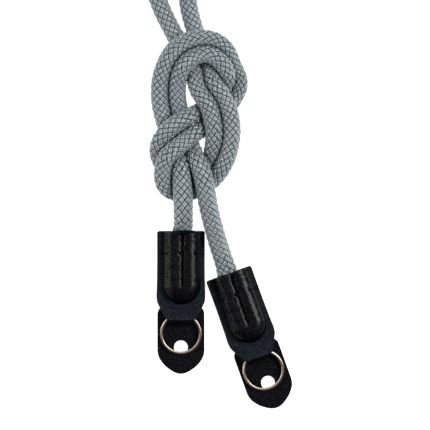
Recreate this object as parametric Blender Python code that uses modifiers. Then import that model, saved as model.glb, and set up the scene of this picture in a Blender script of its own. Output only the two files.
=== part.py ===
"""Camera neck strap: one length of round rope, both strands tied together in a doubled figure-eight
knot, with a leather tab, a split ring and a ring pad on each end.

The strap lies on the XY plane with its neck loop towards +Y and its end tabs towards -Y. The origin
is on that plane, at the middle of the two end tabs. Sizes below are millimetres; the objects are
made in metres.
"""

import math
from collections import namedtuple

import bpy
import numpy as np
from mathutils import Matrix

METRES = 0.001  # one millimetre
GAP = 0.3  # the running gap between two pieces that touch

# ------------------------------------------------------------------------ leather tab, driving sizes
LEATHER = 1.1  # thickness of the strip that the tab is folded from
POCKET_ROPE = 2.8  # radius of the rope where the leather presses it, inside the pocket
LEG_OFFSET = 3.3  # the rope's two legs in the pocket lie this far each side of the tab's middle
U_CENTRE = -23.2  # where the rope turns back inside the pocket, measured from the mouth
TAIL_END = -9.0  # the cut end of the rope
LEG_HEIGHT = LEATHER + GAP + POCKET_ROPE

# ------------------------------------------------------------------------ ring and pad, driving sizes
PAD_THICK = 1.2
PAD_HOLE = 3.1  # radius
PAD_HOLE_AT = -49.7  # from the tab's mouth
RING_OUTER = 8.8  # radius over the wire
RING_WIRE = 1.25  # width of the flattened wire, across the ring
RING_TURN = 0.6  # thickness of one turn of it
RING_GAP = 0.3  # between the two turns
RING_AT = -43.9  # the ring's centre, from the tab's mouth
RING_STEPS = 64  # straight pieces in the two turns
SPLIT_HALF_ANGLE = 20.0  # degrees, from the wire's end to the middle of its crank

# The strip's middle surface along the tab's centre line, from the back panel's edge at the mouth,
# down the back, round the fold and up to where the front panel starts to cover the rope.
StripRow = namedtuple("StripRow", "y z half_width")
BACK_AND_FOLD = [
    StripRow(0.0, 0.55, 10.25),
    StripRow(-14.0, 0.55, 10.2),
    StripRow(-24.0, 0.55, 10.35),
    StripRow(-28.5, 0.55, 10.5),
    StripRow(-30.4, 1.0, 10.2),
    StripRow(-32.0, 2.05, 9.4),
    StripRow(-34.5, 2.0, 8.0),
    StripRow(-37.0, 2.0, 6.6),
    StripRow(-38.4, 2.2, 5.6),
    StripRow(-39.1, 3.0, 5.0),
    StripRow(-39.25, 4.4, 5.0),
    StripRow(-39.1, 5.85, 5.0),
    StripRow(-38.4, 6.75, 5.6),
    StripRow(-37.0, 7.0, 6.6),
    StripRow(-35.4, 6.75, 7.6),
    StripRow(-33.9, 5.4, 8.3),
    StripRow(-32.8, 3.7, 9.0),
    StripRow(-32.0, 2.4, 9.4),
]
FRONT_RIM = LEATHER + GAP + LEATHER / 2  # height of the front panel's middle surface at its rim
FRONT_ROWS = [-31.3, -30.7, -30.1, -29.5, -28.7, -27.7, -26.5, -25.4, -24.4, -23.4, -22.2]
FRONT_ROWS += [-18.0, -12.5, -10.0, -8.0, -6.0, -4.0, -2.0, 0.0]
ACROSS = [0.0, 1.1, 2.2, 3.3, 4.4, 5.4, 6.2, 6.9, 7.6, 8.5, 10.25]  # columns, each side of the middle
HALF_WIDTH = ACROSS[-1]
DRAPE_GAP = 0.6  # from the rope to the leather over it
DRAPE_STEEP = 0.8  # past this share of its radius the leather leaves the rope and falls straight
DRAPE_SLOPE = 2.2
MOUTH_DRAPE = 4.0  # the rope's first stretch outside the mouth still lifts the leather's edge

# The ring swings in the fold about this line, which is level and square to the tab.
EYE_AT, EYE_HEIGHT = -36.9, 4.4

# Right half of the pad's outline, from its top edge to its tip.
PadPoint = namedtuple("PadPoint", "x y")
PAD_OUTLINE = [
    PadPoint(7.9, -32.4),
    PadPoint(8.9, -33.0),
    PadPoint(9.6, -33.8),
    PadPoint(10.0, -34.8),
    PadPoint(10.1, -36.0),
    PadPoint(10.1, -51.6),
    PadPoint(9.85, -53.2),
    PadPoint(9.2, -54.9),
    PadPoint(8.1, -56.5),
    PadPoint(6.8, -58.0),
    PadPoint(5.3, -59.2),
    PadPoint(3.7, -60.3),
    PadPoint(2.1, -61.05),
    PadPoint(0.8, -61.4),
]

# ---------------------------------------------------------------------------- where the two tabs lie
TabPlace = namedtuple("TabPlace", "name mouth_x mouth_y turn_degrees rope_offset")
TABS = [
    TabPlace("left", -18.5, 38.05, 0.0, 0.6),
    TabPlace("right", 1.9, 19.85, 19.9, -0.4),
]

# --------------------------------------------------------------------------------- the rope's route
# Centre line and radius of the rope, as it lies. It starts where the rope leaves the left tab, goes
# once through the knot, round the neck loop, back through the knot, and ends at the right tab.
RoutePoint = namedtuple("RoutePoint", "x y z radius")
FIRST_PASS = [
    # from the left tab up over the knot's foot
    RoutePoint(-17.5, 42.0, 7.4, 3.9),
    RoutePoint(-17.5, 48.0, 10.6, 3.9),
    RoutePoint(-17.5, 54.0, 11.4, 3.85),
    RoutePoint(-18.0, 59.5, 10.2, 3.75),
    RoutePoint(-19.0, 65.5, 7.2, 3.6),
    # under both bands and up the left side
    RoutePoint(-21.0, 72.0, 4.6, 3.5),
    RoutePoint(-23.5, 78.5, 3.5, 3.45),
    RoutePoint(-26.0, 86.0, 3.5, 3.45),
    RoutePoint(-27.5, 93.0, 5.0, 3.5),
    RoutePoint(-27.5, 101.5, 7.5, 3.5),
    # the outer arc, over both standing strands
    RoutePoint(-25.5, 108.5, 9.6, 3.5),
    RoutePoint(-21.5, 115.5, 10.9, 3.5),
    RoutePoint(-15.0, 120.0, 11.3, 3.5),
    RoutePoint(-7.5, 121.0, 10.9, 3.5),
    RoutePoint(0.0, 118.0, 9.2, 3.4),
    RoutePoint(4.5, 111.5, 6.4, 3.2),
    RoutePoint(5.5, 103.5, 4.2, 3.1),
    # down the right side and under the two strands that come down the middle
    RoutePoint(4.5, 96.5, 3.3, 3.1),
    RoutePoint(1.5, 90.5, 3.3, 3.2),
    RoutePoint(-4.0, 85.5, 4.0, 3.3),
    # the lower band
    RoutePoint(-10.0, 81.5, 6.2, 3.4),
    RoutePoint(-15.5, 77.5, 9.5, 3.5),
    RoutePoint(-20.0, 73.5, 11.3, 3.5),
    RoutePoint(-24.0, 68.5, 10.9, 3.5),
    # round the knot's foot
    RoutePoint(-26.0, 63.0, 8.6, 3.5),
    RoutePoint(-24.5, 58.0, 5.2, 3.5),
    RoutePoint(-19.5, 54.5, 3.5, 3.5),
    RoutePoint(-13.5, 55.5, 3.5, 3.5),
    RoutePoint(-7.0, 59.0, 4.6, 3.5),
    # up the right side, over the bands
    RoutePoint(-1.0, 66.5, 8.0, 3.5),
    RoutePoint(2.5, 73.5, 10.4, 3.5),
    RoutePoint(3.5, 81.0, 11.1, 3.5),
    RoutePoint(2.5, 88.5, 11.1, 3.5),
    RoutePoint(-0.5, 95.0, 9.6, 3.45),
    # under both arcs and out at the top
    RoutePoint(-4.0, 102.5, 6.6, 3.45),
    RoutePoint(-7.5, 110.5, 4.0, 3.45),
    RoutePoint(-10.5, 118.0, 3.5, 3.5),
    RoutePoint(-12.5, 124.5, 3.6, 3.6),
    RoutePoint(-14.5, 131.5, 3.7, 3.7),
]
NECK_LOOP = [
    RoutePoint(-15.6, 138.0, 3.7, 3.7),
    RoutePoint(-16.0, 147.0, 3.7, 3.7),
    RoutePoint(-12.5, 159.0, 3.7, 3.7),
    RoutePoint(-3.0, 174.0, 3.7, 3.7),
    RoutePoint(8.5, 191.0, 3.7, 3.7),
    RoutePoint(17.0, 211.0, 3.7, 3.7),
    RoutePoint(21.0, 234.0, 3.7, 3.7),
    RoutePoint(21.0, 258.0, 3.7, 3.7),
    RoutePoint(16.5, 280.0, 3.7, 3.7),
    RoutePoint(6.0, 296.0, 3.7, 3.7),
    RoutePoint(-8.0, 300.0, 3.7, 3.7),
    RoutePoint(-22.0, 294.0, 3.7, 3.7),
    RoutePoint(-31.0, 278.0, 3.7, 3.7),
    RoutePoint(-34.0, 256.0, 3.7, 3.7),
    RoutePoint(-34.5, 228.0, 3.7, 3.7),
    RoutePoint(-35.0, 200.0, 3.7, 3.7),
    RoutePoint(-35.5, 175.0, 3.7, 3.7),
    RoutePoint(-34.0, 155.0, 3.7, 3.7),
]
SECOND_PASS = [
    # in at the top, under both arcs
    RoutePoint(-28.6, 138.0, 3.7, 3.7),
    RoutePoint(-26.0, 131.5, 3.7, 3.7),
    RoutePoint(-23.0, 125.5, 3.6, 3.6),
    RoutePoint(-19.5, 119.0, 3.5, 3.5),
    RoutePoint(-16.0, 112.0, 4.2, 3.45),
    RoutePoint(-12.5, 105.0, 7.0, 3.45),
    # down the middle, over the bands
    RoutePoint(-9.0, 97.5, 9.8, 3.5),
    RoutePoint(-6.0, 89.0, 11.1, 3.5),
    RoutePoint(-4.5, 81.0, 10.9, 3.5),
    RoutePoint(-4.5, 74.0, 9.6, 3.5),
    # round the knot's foot, inside the first pass and then under it
    RoutePoint(-6.5, 68.0, 6.6, 3.5),
    RoutePoint(-11.0, 63.5, 4.2, 3.5),
    RoutePoint(-16.5, 61.5, 3.5, 3.5),
    RoutePoint(-22.0, 63.0, 3.5, 3.5),
    RoutePoint(-26.5, 67.0, 4.0, 3.5),
    RoutePoint(-28.0, 73.0, 6.5, 3.5),
    # the upper band
    RoutePoint(-26.0, 78.5, 9.6, 3.5),
    RoutePoint(-20.5, 84.0, 11.3, 3.5),
    RoutePoint(-15.0, 87.0, 9.5, 3.45),
    RoutePoint(-9.5, 90.0, 6.2, 3.35),
    RoutePoint(-4.5, 93.5, 4.6, 3.2),
    # up the right side and the inner arc
    RoutePoint(-0.5, 98.5, 5.2, 3.1),
    RoutePoint(1.5, 104.5, 7.8, 3.1),
    RoutePoint(-1.5, 110.5, 10.2, 3.35),
    RoutePoint(-7.0, 114.0, 11.3, 3.5),
    RoutePoint(-13.5, 112.0, 10.9, 3.5),
    RoutePoint(-18.0, 107.0, 9.5, 3.5),
    # down the left side, under the bands
    RoutePoint(-20.0, 99.5, 7.0, 3.5),
    RoutePoint(-19.5, 92.0, 4.6, 3.45),
    RoutePoint(-17.5, 84.0, 3.5, 3.45),
    RoutePoint(-15.0, 76.5, 4.6, 3.5),
    # over the knot's foot and down to the right tab
    RoutePoint(-12.0, 69.5, 7.6, 3.6),
    RoutePoint(-9.5, 63.5, 10.8, 3.8),
    RoutePoint(-8.0, 57.0, 11.6, 3.85),
    RoutePoint(-6.5, 49.5, 10.8, 3.9),
    RoutePoint(-4.5, 41.5, 8.8, 3.9),
    RoutePoint(-2.0, 33.0, 6.2, 3.9),
    RoutePoint(0.0, 26.0, 4.8, 3.85),
]
FLOOR_CLEAR = 0.05  # the least height of the rope's underside
ROUTE_STEP = 2.0  # spacing of the points that the settling works on
TUBE_STEP_TIGHT, TUBE_STEP_LONG = 4.0, 16.0  # spacing of the tube's rings, in a bend and on a straight
TUBE_TURN = 0.3  # and no more than this bend, in radians, from one ring to the next
ROPE_SIDES = 10

# ------------------------------------------------------------------------------------------ finishes
Finish = namedtuple("Finish", "colour roughness metallic")
FINISHES = {
    "braided_rope": Finish((0.216, 0.262, 0.266), 0.75, 0.0),
    "smooth_leather": Finish((0.012, 0.013, 0.016), 0.42, 0.0),
    "pad_leather": Finish((0.007, 0.006, 0.007), 0.85, 0.0),
    "nickel_steel": Finish((0.72, 0.69, 0.64), 0.22, 1.0),
}


def clear_scene():
    for thing in list(bpy.data.objects):
        bpy.data.objects.remove(thing)


def collection(name):
    made = bpy.data.collections.new(name)
    bpy.context.scene.collection.children.link(made)
    return made


def finish(name):
    made = bpy.data.materials.new(name)
    made.use_nodes = True
    shader = made.node_tree.nodes["Principled BSDF"]
    shader.inputs["Base Color"].default_value = (*FINISHES[name].colour, 1.0)
    shader.inputs["Roughness"].default_value = FINISHES[name].roughness
    shader.inputs["Metallic"].default_value = FINISHES[name].metallic
    return made


def placement(tab):
    """The tab's own frame: X across it, Y up towards its mouth, Z up, in metres."""
    across = Matrix.Translation((tab.mouth_x * METRES, tab.mouth_y * METRES, 0.0))
    return across @ Matrix.Rotation(math.radians(tab.turn_degrees), 4, "Z")


def laid(tab, points):
    """Route points given in the tab's own frame, moved to where the tab lies."""
    turn = math.radians(tab.turn_degrees)
    return [
        RoutePoint(
            tab.mouth_x + p.x * math.cos(turn) - p.y * math.sin(turn),
            tab.mouth_y + p.x * math.sin(turn) + p.y * math.cos(turn),
            p.z,
            p.radius,
        )
        for p in points
    ]


# ------------------------------------------------------------------------------------------ the rope
def rope_in_pocket(tab):
    """The rope inside one tab, from its cut end round the U and out at the mouth."""
    turn_back = [
        RoutePoint(
            LEG_OFFSET * math.cos(math.radians(angle)),
            U_CENTRE + LEG_OFFSET * math.sin(math.radians(angle)),
            LEG_HEIGHT,
            POCKET_ROPE,
        )
        for angle in (0, -45, -90, -135, -180)
    ]
    return [
        RoutePoint(LEG_OFFSET, TAIL_END, LEG_HEIGHT, POCKET_ROPE),
        RoutePoint(LEG_OFFSET, -16.0, LEG_HEIGHT, POCKET_ROPE),
        *turn_back,
        RoutePoint(-LEG_OFFSET, -16.0, LEG_HEIGHT, POCKET_ROPE),
        RoutePoint(-LEG_OFFSET + 0.1, -10.5, LEG_HEIGHT, POCKET_ROPE),
        RoutePoint(-1.7, -5.0, LEG_HEIGHT, 2.9),
        RoutePoint(tab.rope_offset, 0.0, 4.9, 3.35),
    ]


def whole_route():
    left, right = TABS
    return [
        *laid(left, rope_in_pocket(left)),
        *FIRST_PASS,
        *NECK_LOOP,
        *SECOND_PASS,
        *reversed(laid(right, rope_in_pocket(right))),
    ]


def smooth_curve(points, between=12):
    """A centripetal Catmull-Rom curve through the points; every column is carried along."""
    p = np.array(points, float)
    p = np.vstack([2 * p[0] - p[1], p, 2 * p[-1] - p[-2]])
    made = []
    for a, b, c, d in zip(p[:-3], p[1:-2], p[2:-1], p[3:], strict=True):
        knots = np.cumsum([0.0, *(np.linalg.norm((y - x)[:3]) ** 0.5 for x, y in ((a, b), (b, c), (c, d)))])
        for t in np.linspace(knots[1], knots[2], between, endpoint=False):

            def mix(x, y, i, j, t=t, knots=knots):
                return ((knots[j] - t) * x + (t - knots[i]) * y) / (knots[j] - knots[i])

            first, second, third = mix(a, b, 0, 1), mix(b, c, 1, 2), mix(c, d, 2, 3)
            made.append(mix(mix(first, second, 0, 2), mix(second, third, 1, 3), 1, 2))
    made.append(p[-2])
    return np.array(made)


def along(points):
    return np.concatenate([[0.0], np.cumsum(np.linalg.norm(np.diff(points[:, :3], axis=0), axis=1))])


def evenly_spaced(points, step):
    at = along(points)
    wanted = np.linspace(0.0, at[-1], round(at[-1] / step) + 1)
    return np.stack([np.interp(wanted, at, column) for column in points.T], axis=1)


def settled(route, free, rounds=240, refresh=12):
    """Lets the drawn route settle as a pulled knot does: strands that press into each other move
    apart until GAP is between them, none goes below the surface, and bends stay smooth."""
    place, radius = route[:, :3].copy(), route[:, 3]
    home = place.copy()
    number = np.arange(len(route))
    apart = radius[:, None] + radius[None, :] + GAP
    neighbours = np.abs(number[:, None] - number[None, :]) * ROUTE_STEP < 1.7 * apart
    for turn in range(rounds):
        if turn % refresh == 0:
            distance = np.linalg.norm(place[:, None] - place[None, :], axis=2)
            one, other = np.nonzero((distance < apart + 2.0) & ~neighbours)
        bend = np.zeros_like(place)
        bend[1:-1] = place[:-2] - 2 * place[1:-1] + place[2:]
        change = np.zeros_like(place)
        change[2:-2] = bend[1:-3] - 2 * bend[2:-2] + bend[3:-1]
        place -= np.where(free[:, None], 0.06 * change, 0.0)
        place += np.where(free[:, None], (home - place) * (0.03, 0.03, 0.01), 0.0)
        for _ in range(3):
            between = place[one] - place[other]
            length = np.linalg.norm(between, axis=1)
            short = np.maximum(apart[one, other] - length, 0.0) / length
            push, weight = np.zeros_like(place), np.zeros(len(place))
            np.add.at(push, one, between * (short * short)[:, None])
            np.add.at(weight, one, short)
            place += np.where(free[:, None], 0.5 * push / np.maximum(weight, 1e-9)[:, None], 0.0)
            place[:, 2] = np.maximum(place[:, 2], radius + FLOOR_CLEAR)
    return np.column_stack([place, radius])


def rope_line():
    """Centre line and radius of the whole rope, in millimetres, ROUTE_STEP apart."""
    route = evenly_spaced(smooth_curve(whole_route()), ROUTE_STEP)
    in_pocket = along(smooth_curve(rope_in_pocket(TABS[0])))[-1]
    at = along(route)
    free = (at > in_pocket + ROUTE_STEP) & (at < at[-1] - in_pocket - ROUTE_STEP)
    return settled(route, free)


def tube_rings(line):
    """Thins the line to the points where the tube gets a ring: close in bends, far on straights."""
    heading = np.diff(line[:, :3], axis=0)
    heading /= np.linalg.norm(heading, axis=1)[:, None]
    turning = np.arccos(np.clip((heading[1:] * heading[:-1]).sum(1), -1.0, 1.0)) / ROUTE_STEP
    turning = np.concatenate([[0.0], turning, [0.0]])
    turning = np.convolve(turning, np.ones(5) / 5, mode="same")
    kept, last = [0], 0
    for i in range(1, len(line) - 1):
        step = min(TUBE_STEP_LONG, max(TUBE_STEP_TIGHT, TUBE_TURN / max(turning[i], 1e-6)))
        if (i - last) * ROUTE_STEP >= step - 1e-6:
            kept.append(i)
            last = i
    return line[[*kept, len(line) - 1]]


def make_rope(line, into):
    curve = bpy.data.curves.new("rope", "CURVE")
    curve.dimensions = "3D"
    curve.bevel_depth = METRES
    curve.bevel_resolution = ROPE_SIDES // 2 - 2
    curve.use_fill_caps = True
    rings = tube_rings(line)
    spline = curve.splines.new("POLY")
    spline.points.add(len(rings) - 1)
    for point, (x, y, z, radius) in zip(spline.points, rings, strict=True):
        point.co = (x * METRES, y * METRES, z * METRES, 1.0)
        point.radius = radius
    made = bpy.data.objects.new("rope", curve)
    curve.materials.append(finish("braided_rope"))
    into.objects.link(made)


# -------------------------------------------------------------------------------------- leather tabs
def draped_height(x, y, rope):
    """Height of the front panel's middle surface where it lies over the rope's legs."""
    reach = rope[:, 3] + DRAPE_GAP + LEATHER / 2
    away = np.hypot(rope[:, 0] - x, rope[:, 1] - y)
    near = np.minimum(away, DRAPE_STEEP * reach)
    crown = np.sqrt(reach**2 - near**2)
    return float((rope[:, 2] + crown - DRAPE_SLOPE * (away - near)).max())


def rope_under(tab, line):
    """What the front panel lies over, in the tab's own frame: the rope, and up to the mouth the two
    channels that its legs press into the leather."""
    turn = math.radians(tab.turn_degrees)
    x, y = line[:, 0] - tab.mouth_x, line[:, 1] - tab.mouth_y
    across = x * math.cos(turn) + y * math.sin(turn)
    up = y * math.cos(turn) - x * math.sin(turn)
    rope = np.column_stack([across, up, line[:, 2:]])
    rope = rope[(up < MOUTH_DRAPE) & (np.abs(across) < HALF_WIDTH)]
    legs = [
        (side * LEG_OFFSET, y, LEG_HEIGHT, POCKET_ROPE)
        for side in (-1, 1)
        for y in np.arange(U_CENTRE, 1.0, 1.0)
    ]
    return np.vstack([rope, legs])


def half_width(y):
    """The back panel's half width at y, which the front panel's edge follows."""
    back = [row for row in reversed(BACK_AND_FOLD) if row.z < FRONT_RIM and row.y > -34.0]
    return float(np.interp(y, [row.y for row in back], [row.half_width for row in back]))


def strip_rows(tab, line):
    """The strip's middle surface, row by row from the back panel's edge to the front panel's."""
    columns = [-x for x in reversed(ACROSS[1:])] + ACROSS
    rows = [
        [(x * row.half_width / HALF_WIDTH, row.y, row.z) for x in columns] for row in BACK_AND_FOLD
    ]
    rope = rope_under(tab, line)
    for y in FRONT_ROWS:
        share = half_width(y) / HALF_WIDTH
        row = [(x * share, y, max(FRONT_RIM, draped_height(x * share, y, rope))) for x in columns]
        rows.append(row)
    return rows


def make_leather_tab(tab, line, into):
    rows = strip_rows(tab, line)
    wide = len(rows[0])
    points = [tuple(v * METRES for v in point) for row in rows for point in row]
    faces = [
        (i * wide + j, i * wide + j + 1, (i + 1) * wide + j + 1, (i + 1) * wide + j)
        for i in range(len(rows) - 1)
        for j in range(wide - 1)
    ]
    mesh = bpy.data.meshes.new(f"{tab.name}_leather_tab")
    mesh.from_pydata(points, [], faces)
    mesh.materials.append(finish("smooth_leather"))
    mesh.shade_smooth()
    made = bpy.data.objects.new(mesh.name, mesh)
    made.matrix_world = placement(tab)
    into.objects.link(made)
    wall = made.modifiers.new("leather thickness", "SOLIDIFY")
    wall.thickness = LEATHER * METRES
    wall.offset = 0.0
    wall.use_even_offset = True


# ---------------------------------------------------------------------------------- ring pads, rings
def flat_outline(curve, points):
    spline = curve.splines.new("POLY")
    spline.points.add(len(points) - 1)
    for point, (x, y) in zip(spline.points, points, strict=True):
        point.co = (x * METRES, y * METRES, 0.0, 1.0)
    spline.use_cyclic_u = True


def circle(radius, centre_y, sides):
    angles = [2 * math.pi * i / sides for i in range(sides)]
    return [(radius * math.cos(a), centre_y + radius * math.sin(a)) for a in angles]


def make_pad(tab, into):
    curve = bpy.data.curves.new(f"{tab.name}_ring_pad", "CURVE")
    curve.dimensions = "2D"
    curve.fill_mode = "BOTH"
    curve.extrude = PAD_THICK / 2 * METRES
    right = [(p.x, p.y) for p in PAD_OUTLINE]
    flat_outline(curve, right + [(-x, y) for x, y in reversed(right)])
    flat_outline(curve, circle(PAD_HOLE, PAD_HOLE_AT, 24))
    curve.materials.append(finish("pad_leather"))
    made = bpy.data.objects.new(curve.name, curve)
    made.matrix_world = placement(tab) @ Matrix.Translation((0, 0, PAD_THICK / 2 * METRES))
    into.objects.link(made)


def ring_line():
    """Two flat turns side by side, joined by a short crank where the ring is split."""
    middle = RING_OUTER - RING_WIRE / 2
    pitch = RING_TURN + RING_GAP
    steps = RING_STEPS
    points = []
    for i in range(steps + 1):
        angle = SPLIT_HALF_ANGLE + (720.0 - 2 * SPLIT_HALF_ANGLE) * i / steps
        crank = min(1.0, max(0.0, (angle - 360.0 + SPLIT_HALF_ANGLE) / (2 * SPLIT_HALF_ANGLE)))
        lift = pitch * (crank * crank * (3 - 2 * crank) - 0.5)
        turn = math.radians(angle + 90.0)
        points.append((middle * math.cos(turn), middle * math.sin(turn), lift))
    return points


def make_ring(tab, wire_outline, into):
    curve = bpy.data.curves.new(f"{tab.name}_split_ring", "CURVE")
    curve.dimensions = "3D"
    curve.twist_mode = "Z_UP"
    curve.bevel_mode = "OBJECT"
    curve.bevel_object = wire_outline
    curve.use_fill_caps = True
    line = ring_line()
    spline = curve.splines.new("POLY")
    spline.points.add(len(line) - 1)
    for point, (x, y, z) in zip(spline.points, line, strict=True):
        point.co = (x * METRES, y * METRES, z * METRES, 1.0)
    curve.materials.append(finish("nickel_steel"))
    made = bpy.data.objects.new(curve.name, curve)
    # The ring lies on the pad at its far end, and its hinge line is the middle of the fold.
    hinge = bpy.data.objects.new(f"{tab.name}_ring_hinge", None)
    into.objects.link(hinge)
    drop = EYE_HEIGHT - (PAD_THICK + GAP + RING_TURN + RING_GAP / 2)
    reach = EYE_AT - RING_AT + RING_OUTER
    tilt = math.asin(drop / reach)
    at_eye = Matrix.Translation((0, EYE_AT * METRES, EYE_HEIGHT * METRES))
    hinge.matrix_world = placement(tab) @ at_eye @ Matrix.Rotation(tilt, 4, "X")
    made.parent = hinge
    made.matrix_parent_inverse = Matrix.Identity(4)
    made.location = (0.0, (RING_AT - EYE_AT) * METRES, 0.0)
    into.objects.link(made)


def make_wire_outline(into):
    """The flattened wire's section: wide across the ring, thin along its axis, with round edges."""
    curve = bpy.data.curves.new("ring_wire_section", "CURVE")
    curve.dimensions = "2D"
    half_wide, half_thick, corner = RING_WIRE / 2, RING_TURN / 2, 0.18
    right = [
        (half_wide - corner, half_thick),
        (half_wide, half_thick - corner),
        (half_wide, -half_thick + corner),
        (half_wide - corner, -half_thick),
    ]
    flat_outline(curve, right + [(-x, y) for x, y in reversed(right)])
    made = bpy.data.objects.new(curve.name, curve)
    made.hide_render = True
    made.display_type = "WIRE"
    into.objects.link(made)
    return made


def main():
    clear_scene()
    strap = collection("camera_neck_strap")
    wire_outline = make_wire_outline(collection("guides"))
    line = rope_line()
    make_rope(line, strap)
    for tab in TABS:
        make_leather_tab(tab, line, strap)
        make_pad(tab, strap)
        make_ring(tab, wire_outline, strap)


main()
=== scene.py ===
# %% [markdown]
# # A rope camera strap, tied in a doubled figure-eight knot
#
# The strap is one length of braided rope. Both strands are tied together in a figure-eight knot,
# and each end turns back inside a folded leather tab that holds a split ring over a leather pad.
# The solids of the part are loaded first, as a fixed frame. Everything below is the surface that
# is laid on them: yarns, leather, thread and steel. Sizes are in millimetres, as a strap maker
# would give them, and are scaled to metres where an object is made.

import math
from collections import namedtuple

import bmesh
import bpy
import numpy as np
from mathutils import Matrix, Vector


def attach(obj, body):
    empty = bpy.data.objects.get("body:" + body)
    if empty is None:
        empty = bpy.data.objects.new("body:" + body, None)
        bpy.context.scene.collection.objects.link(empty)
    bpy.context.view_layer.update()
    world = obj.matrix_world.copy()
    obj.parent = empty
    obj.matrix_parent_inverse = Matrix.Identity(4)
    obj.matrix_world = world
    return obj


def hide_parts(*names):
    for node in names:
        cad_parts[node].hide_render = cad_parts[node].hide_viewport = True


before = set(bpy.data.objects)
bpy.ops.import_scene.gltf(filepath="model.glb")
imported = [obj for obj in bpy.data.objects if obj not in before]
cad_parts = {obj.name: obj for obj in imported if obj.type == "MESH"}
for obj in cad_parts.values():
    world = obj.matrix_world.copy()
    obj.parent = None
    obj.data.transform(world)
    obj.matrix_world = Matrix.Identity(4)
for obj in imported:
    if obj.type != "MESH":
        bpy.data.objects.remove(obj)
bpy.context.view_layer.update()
MM = 0.001

# %% [markdown]
# ## The camera
#
# The strap lies on a table and is seen from straight above. A long lens from far away keeps the
# high strands of the knot from growing, as a product photographer would. The width of the view at
# the table is set, and the lens follows from it.

# %% Camera
VIEW_WIDTH = 184.9  # what the picture's width spans on the table
VIEW_CENTRE = (-3.87, 44.9)
CAMERA_HEIGHT = 1500.0

camera_data = bpy.data.cameras.new("camera")
camera_data.lens = camera_data.sensor_width * CAMERA_HEIGHT / VIEW_WIDTH
camera_data.clip_start, camera_data.clip_end = 0.05, 10.0
camera = bpy.data.objects.new("camera", camera_data)
camera.location = (VIEW_CENTRE[0] * MM, VIEW_CENTRE[1] * MM, CAMERA_HEIGHT * MM)
bpy.context.scene.collection.objects.link(camera)
bpy.context.scene.camera = camera
print("lens", round(camera_data.lens), "mm")

# %% [markdown]
# ## Tools for the bench
#
# A few steps come back for every piece: an operator on a whole mesh, a curve through points, a
# number kept at each vertex. In the viewport they are a few clicks each. Here they get a name.

# %% Editing a mesh
WELD = 0.01  # vertices nearer to each other than this become one


def select_only(piece):
    bpy.ops.object.select_all(action="DESELECT")
    piece.select_set(True)
    bpy.context.view_layer.objects.active = piece


def edit_all(piece, operator, **settings):
    """Runs an operator on the whole mesh, in edit mode."""
    select_only(piece)
    bpy.ops.object.mode_set(mode="EDIT")
    bpy.ops.mesh.select_all(action="SELECT")
    operator(**settings)
    bpy.ops.object.mode_set(mode="OBJECT")


def facing_out(piece):
    """Turns every face outwards, and shades the piece smooth but for its sharp edges."""
    edit_all(piece, bpy.ops.mesh.normals_make_consistent, inside=False)
    bpy.ops.object.shade_smooth_by_angle(angle=math.radians(75))


def rounded_edges(piece, width, segments, sharper_than):
    """Rounds the edges that are sharper than an angle in degrees."""
    select_only(piece)
    edge = piece.modifiers.new("rounded edge", "BEVEL")
    edge.width, edge.segments = width * MM, segments
    edge.limit_method, edge.angle_limit = "ANGLE", math.radians(sharper_than)
    bpy.ops.object.modifier_apply(modifier=edge.name)


print("welding under", WELD, "mm")


# %% Curves and vertices
def empty_curve(name, dimensions="3D"):
    """A new curve object without splines."""
    bpy.ops.curve.primitive_bezier_curve_add()
    made = bpy.context.object
    made.name = name
    made.data.dimensions = dimensions
    made.data.splines.clear()
    return made


def straight_runs(curve, points, closed=False):
    """A spline of straight runs through the points, which lie flat if they have no Z."""
    places = np.zeros((len(points), 4))
    places[:, : len(points[0])] = np.array(points) * MM
    places[:, 3] = 1.0
    spline = curve.data.splines.new("POLY")
    spline.points.add(len(points) - 1)
    spline.points.foreach_set("co", places.ravel())
    spline.use_cyclic_u = closed
    return spline


def coordinates(piece):
    """Every vertex of the piece."""
    flat = np.zeros(len(piece.data.vertices) * 3)
    piece.data.vertices.foreach_get("co", flat)
    return flat.reshape(-1, 3) / MM


def move_vertices(piece, points):
    piece.data.vertices.foreach_set("co", (points * MM).ravel())
    piece.data.update()


def mark(piece, label, values):
    """Keeps a number or a vector at every vertex, for a finish to read."""
    values = np.asarray(values, np.float32)
    kind, field = ("FLOAT", "value") if values.ndim == 1 else ("FLOAT_VECTOR", "vector")
    layer = piece.data.attributes.new(label, kind, "POINT")
    layer.data.foreach_set(field, values.ravel())


def ramp(value, start, end):
    """0 at start, 1 at end, in proportion between them and level beyond."""
    return np.clip((value - start) / (end - start), 0.0, 1.0)


def unit(vectors):
    return vectors / np.linalg.norm(vectors, axis=-1)[..., None]


print("a ramp from 2 to 4 at 3:", ramp(3.0, 2.0, 4.0))

# %% [markdown]
# ## Where the tabs lie, and the route of the rope
#
# A rope could be drawn as a curve by hand in the viewport. Here its centre line is a short table of
# points instead, so that every crossing of the knot can be read as a height. Each row is X, Y, the
# height of the centre over the table, and the radius, which is smaller where the knot squeezes the
# rope. The rows are the part's own, but for nine of the outer arc and of the strand to the right
# tab, which were moved by up to 1.4 mm once the dressed strap could be compared with its picture.

# %% The two tabs
LEATHER = 1.1  # thickness of the tab's leather
GAP = 0.3
LEG_OFFSET, LEG_HEIGHT, POCKET_ROPE = 3.3, 4.2, 2.8  # the rope's two legs inside a tab
U_CENTRE, TAIL_END = -23.2, -9.0  # where the rope turns back, and where it is cut off
LEG_TOP = -16.0  # the legs are straight up to here

TabPlace = namedtuple("TabPlace", "name mouth_x mouth_y turn_degrees rope_offset")
left = TabPlace("left", -18.5, 38.05, 0.0, 0.6)
right = TabPlace("right", 1.9, 19.85, 19.9, -0.4)
TABS = (left, right)


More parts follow.
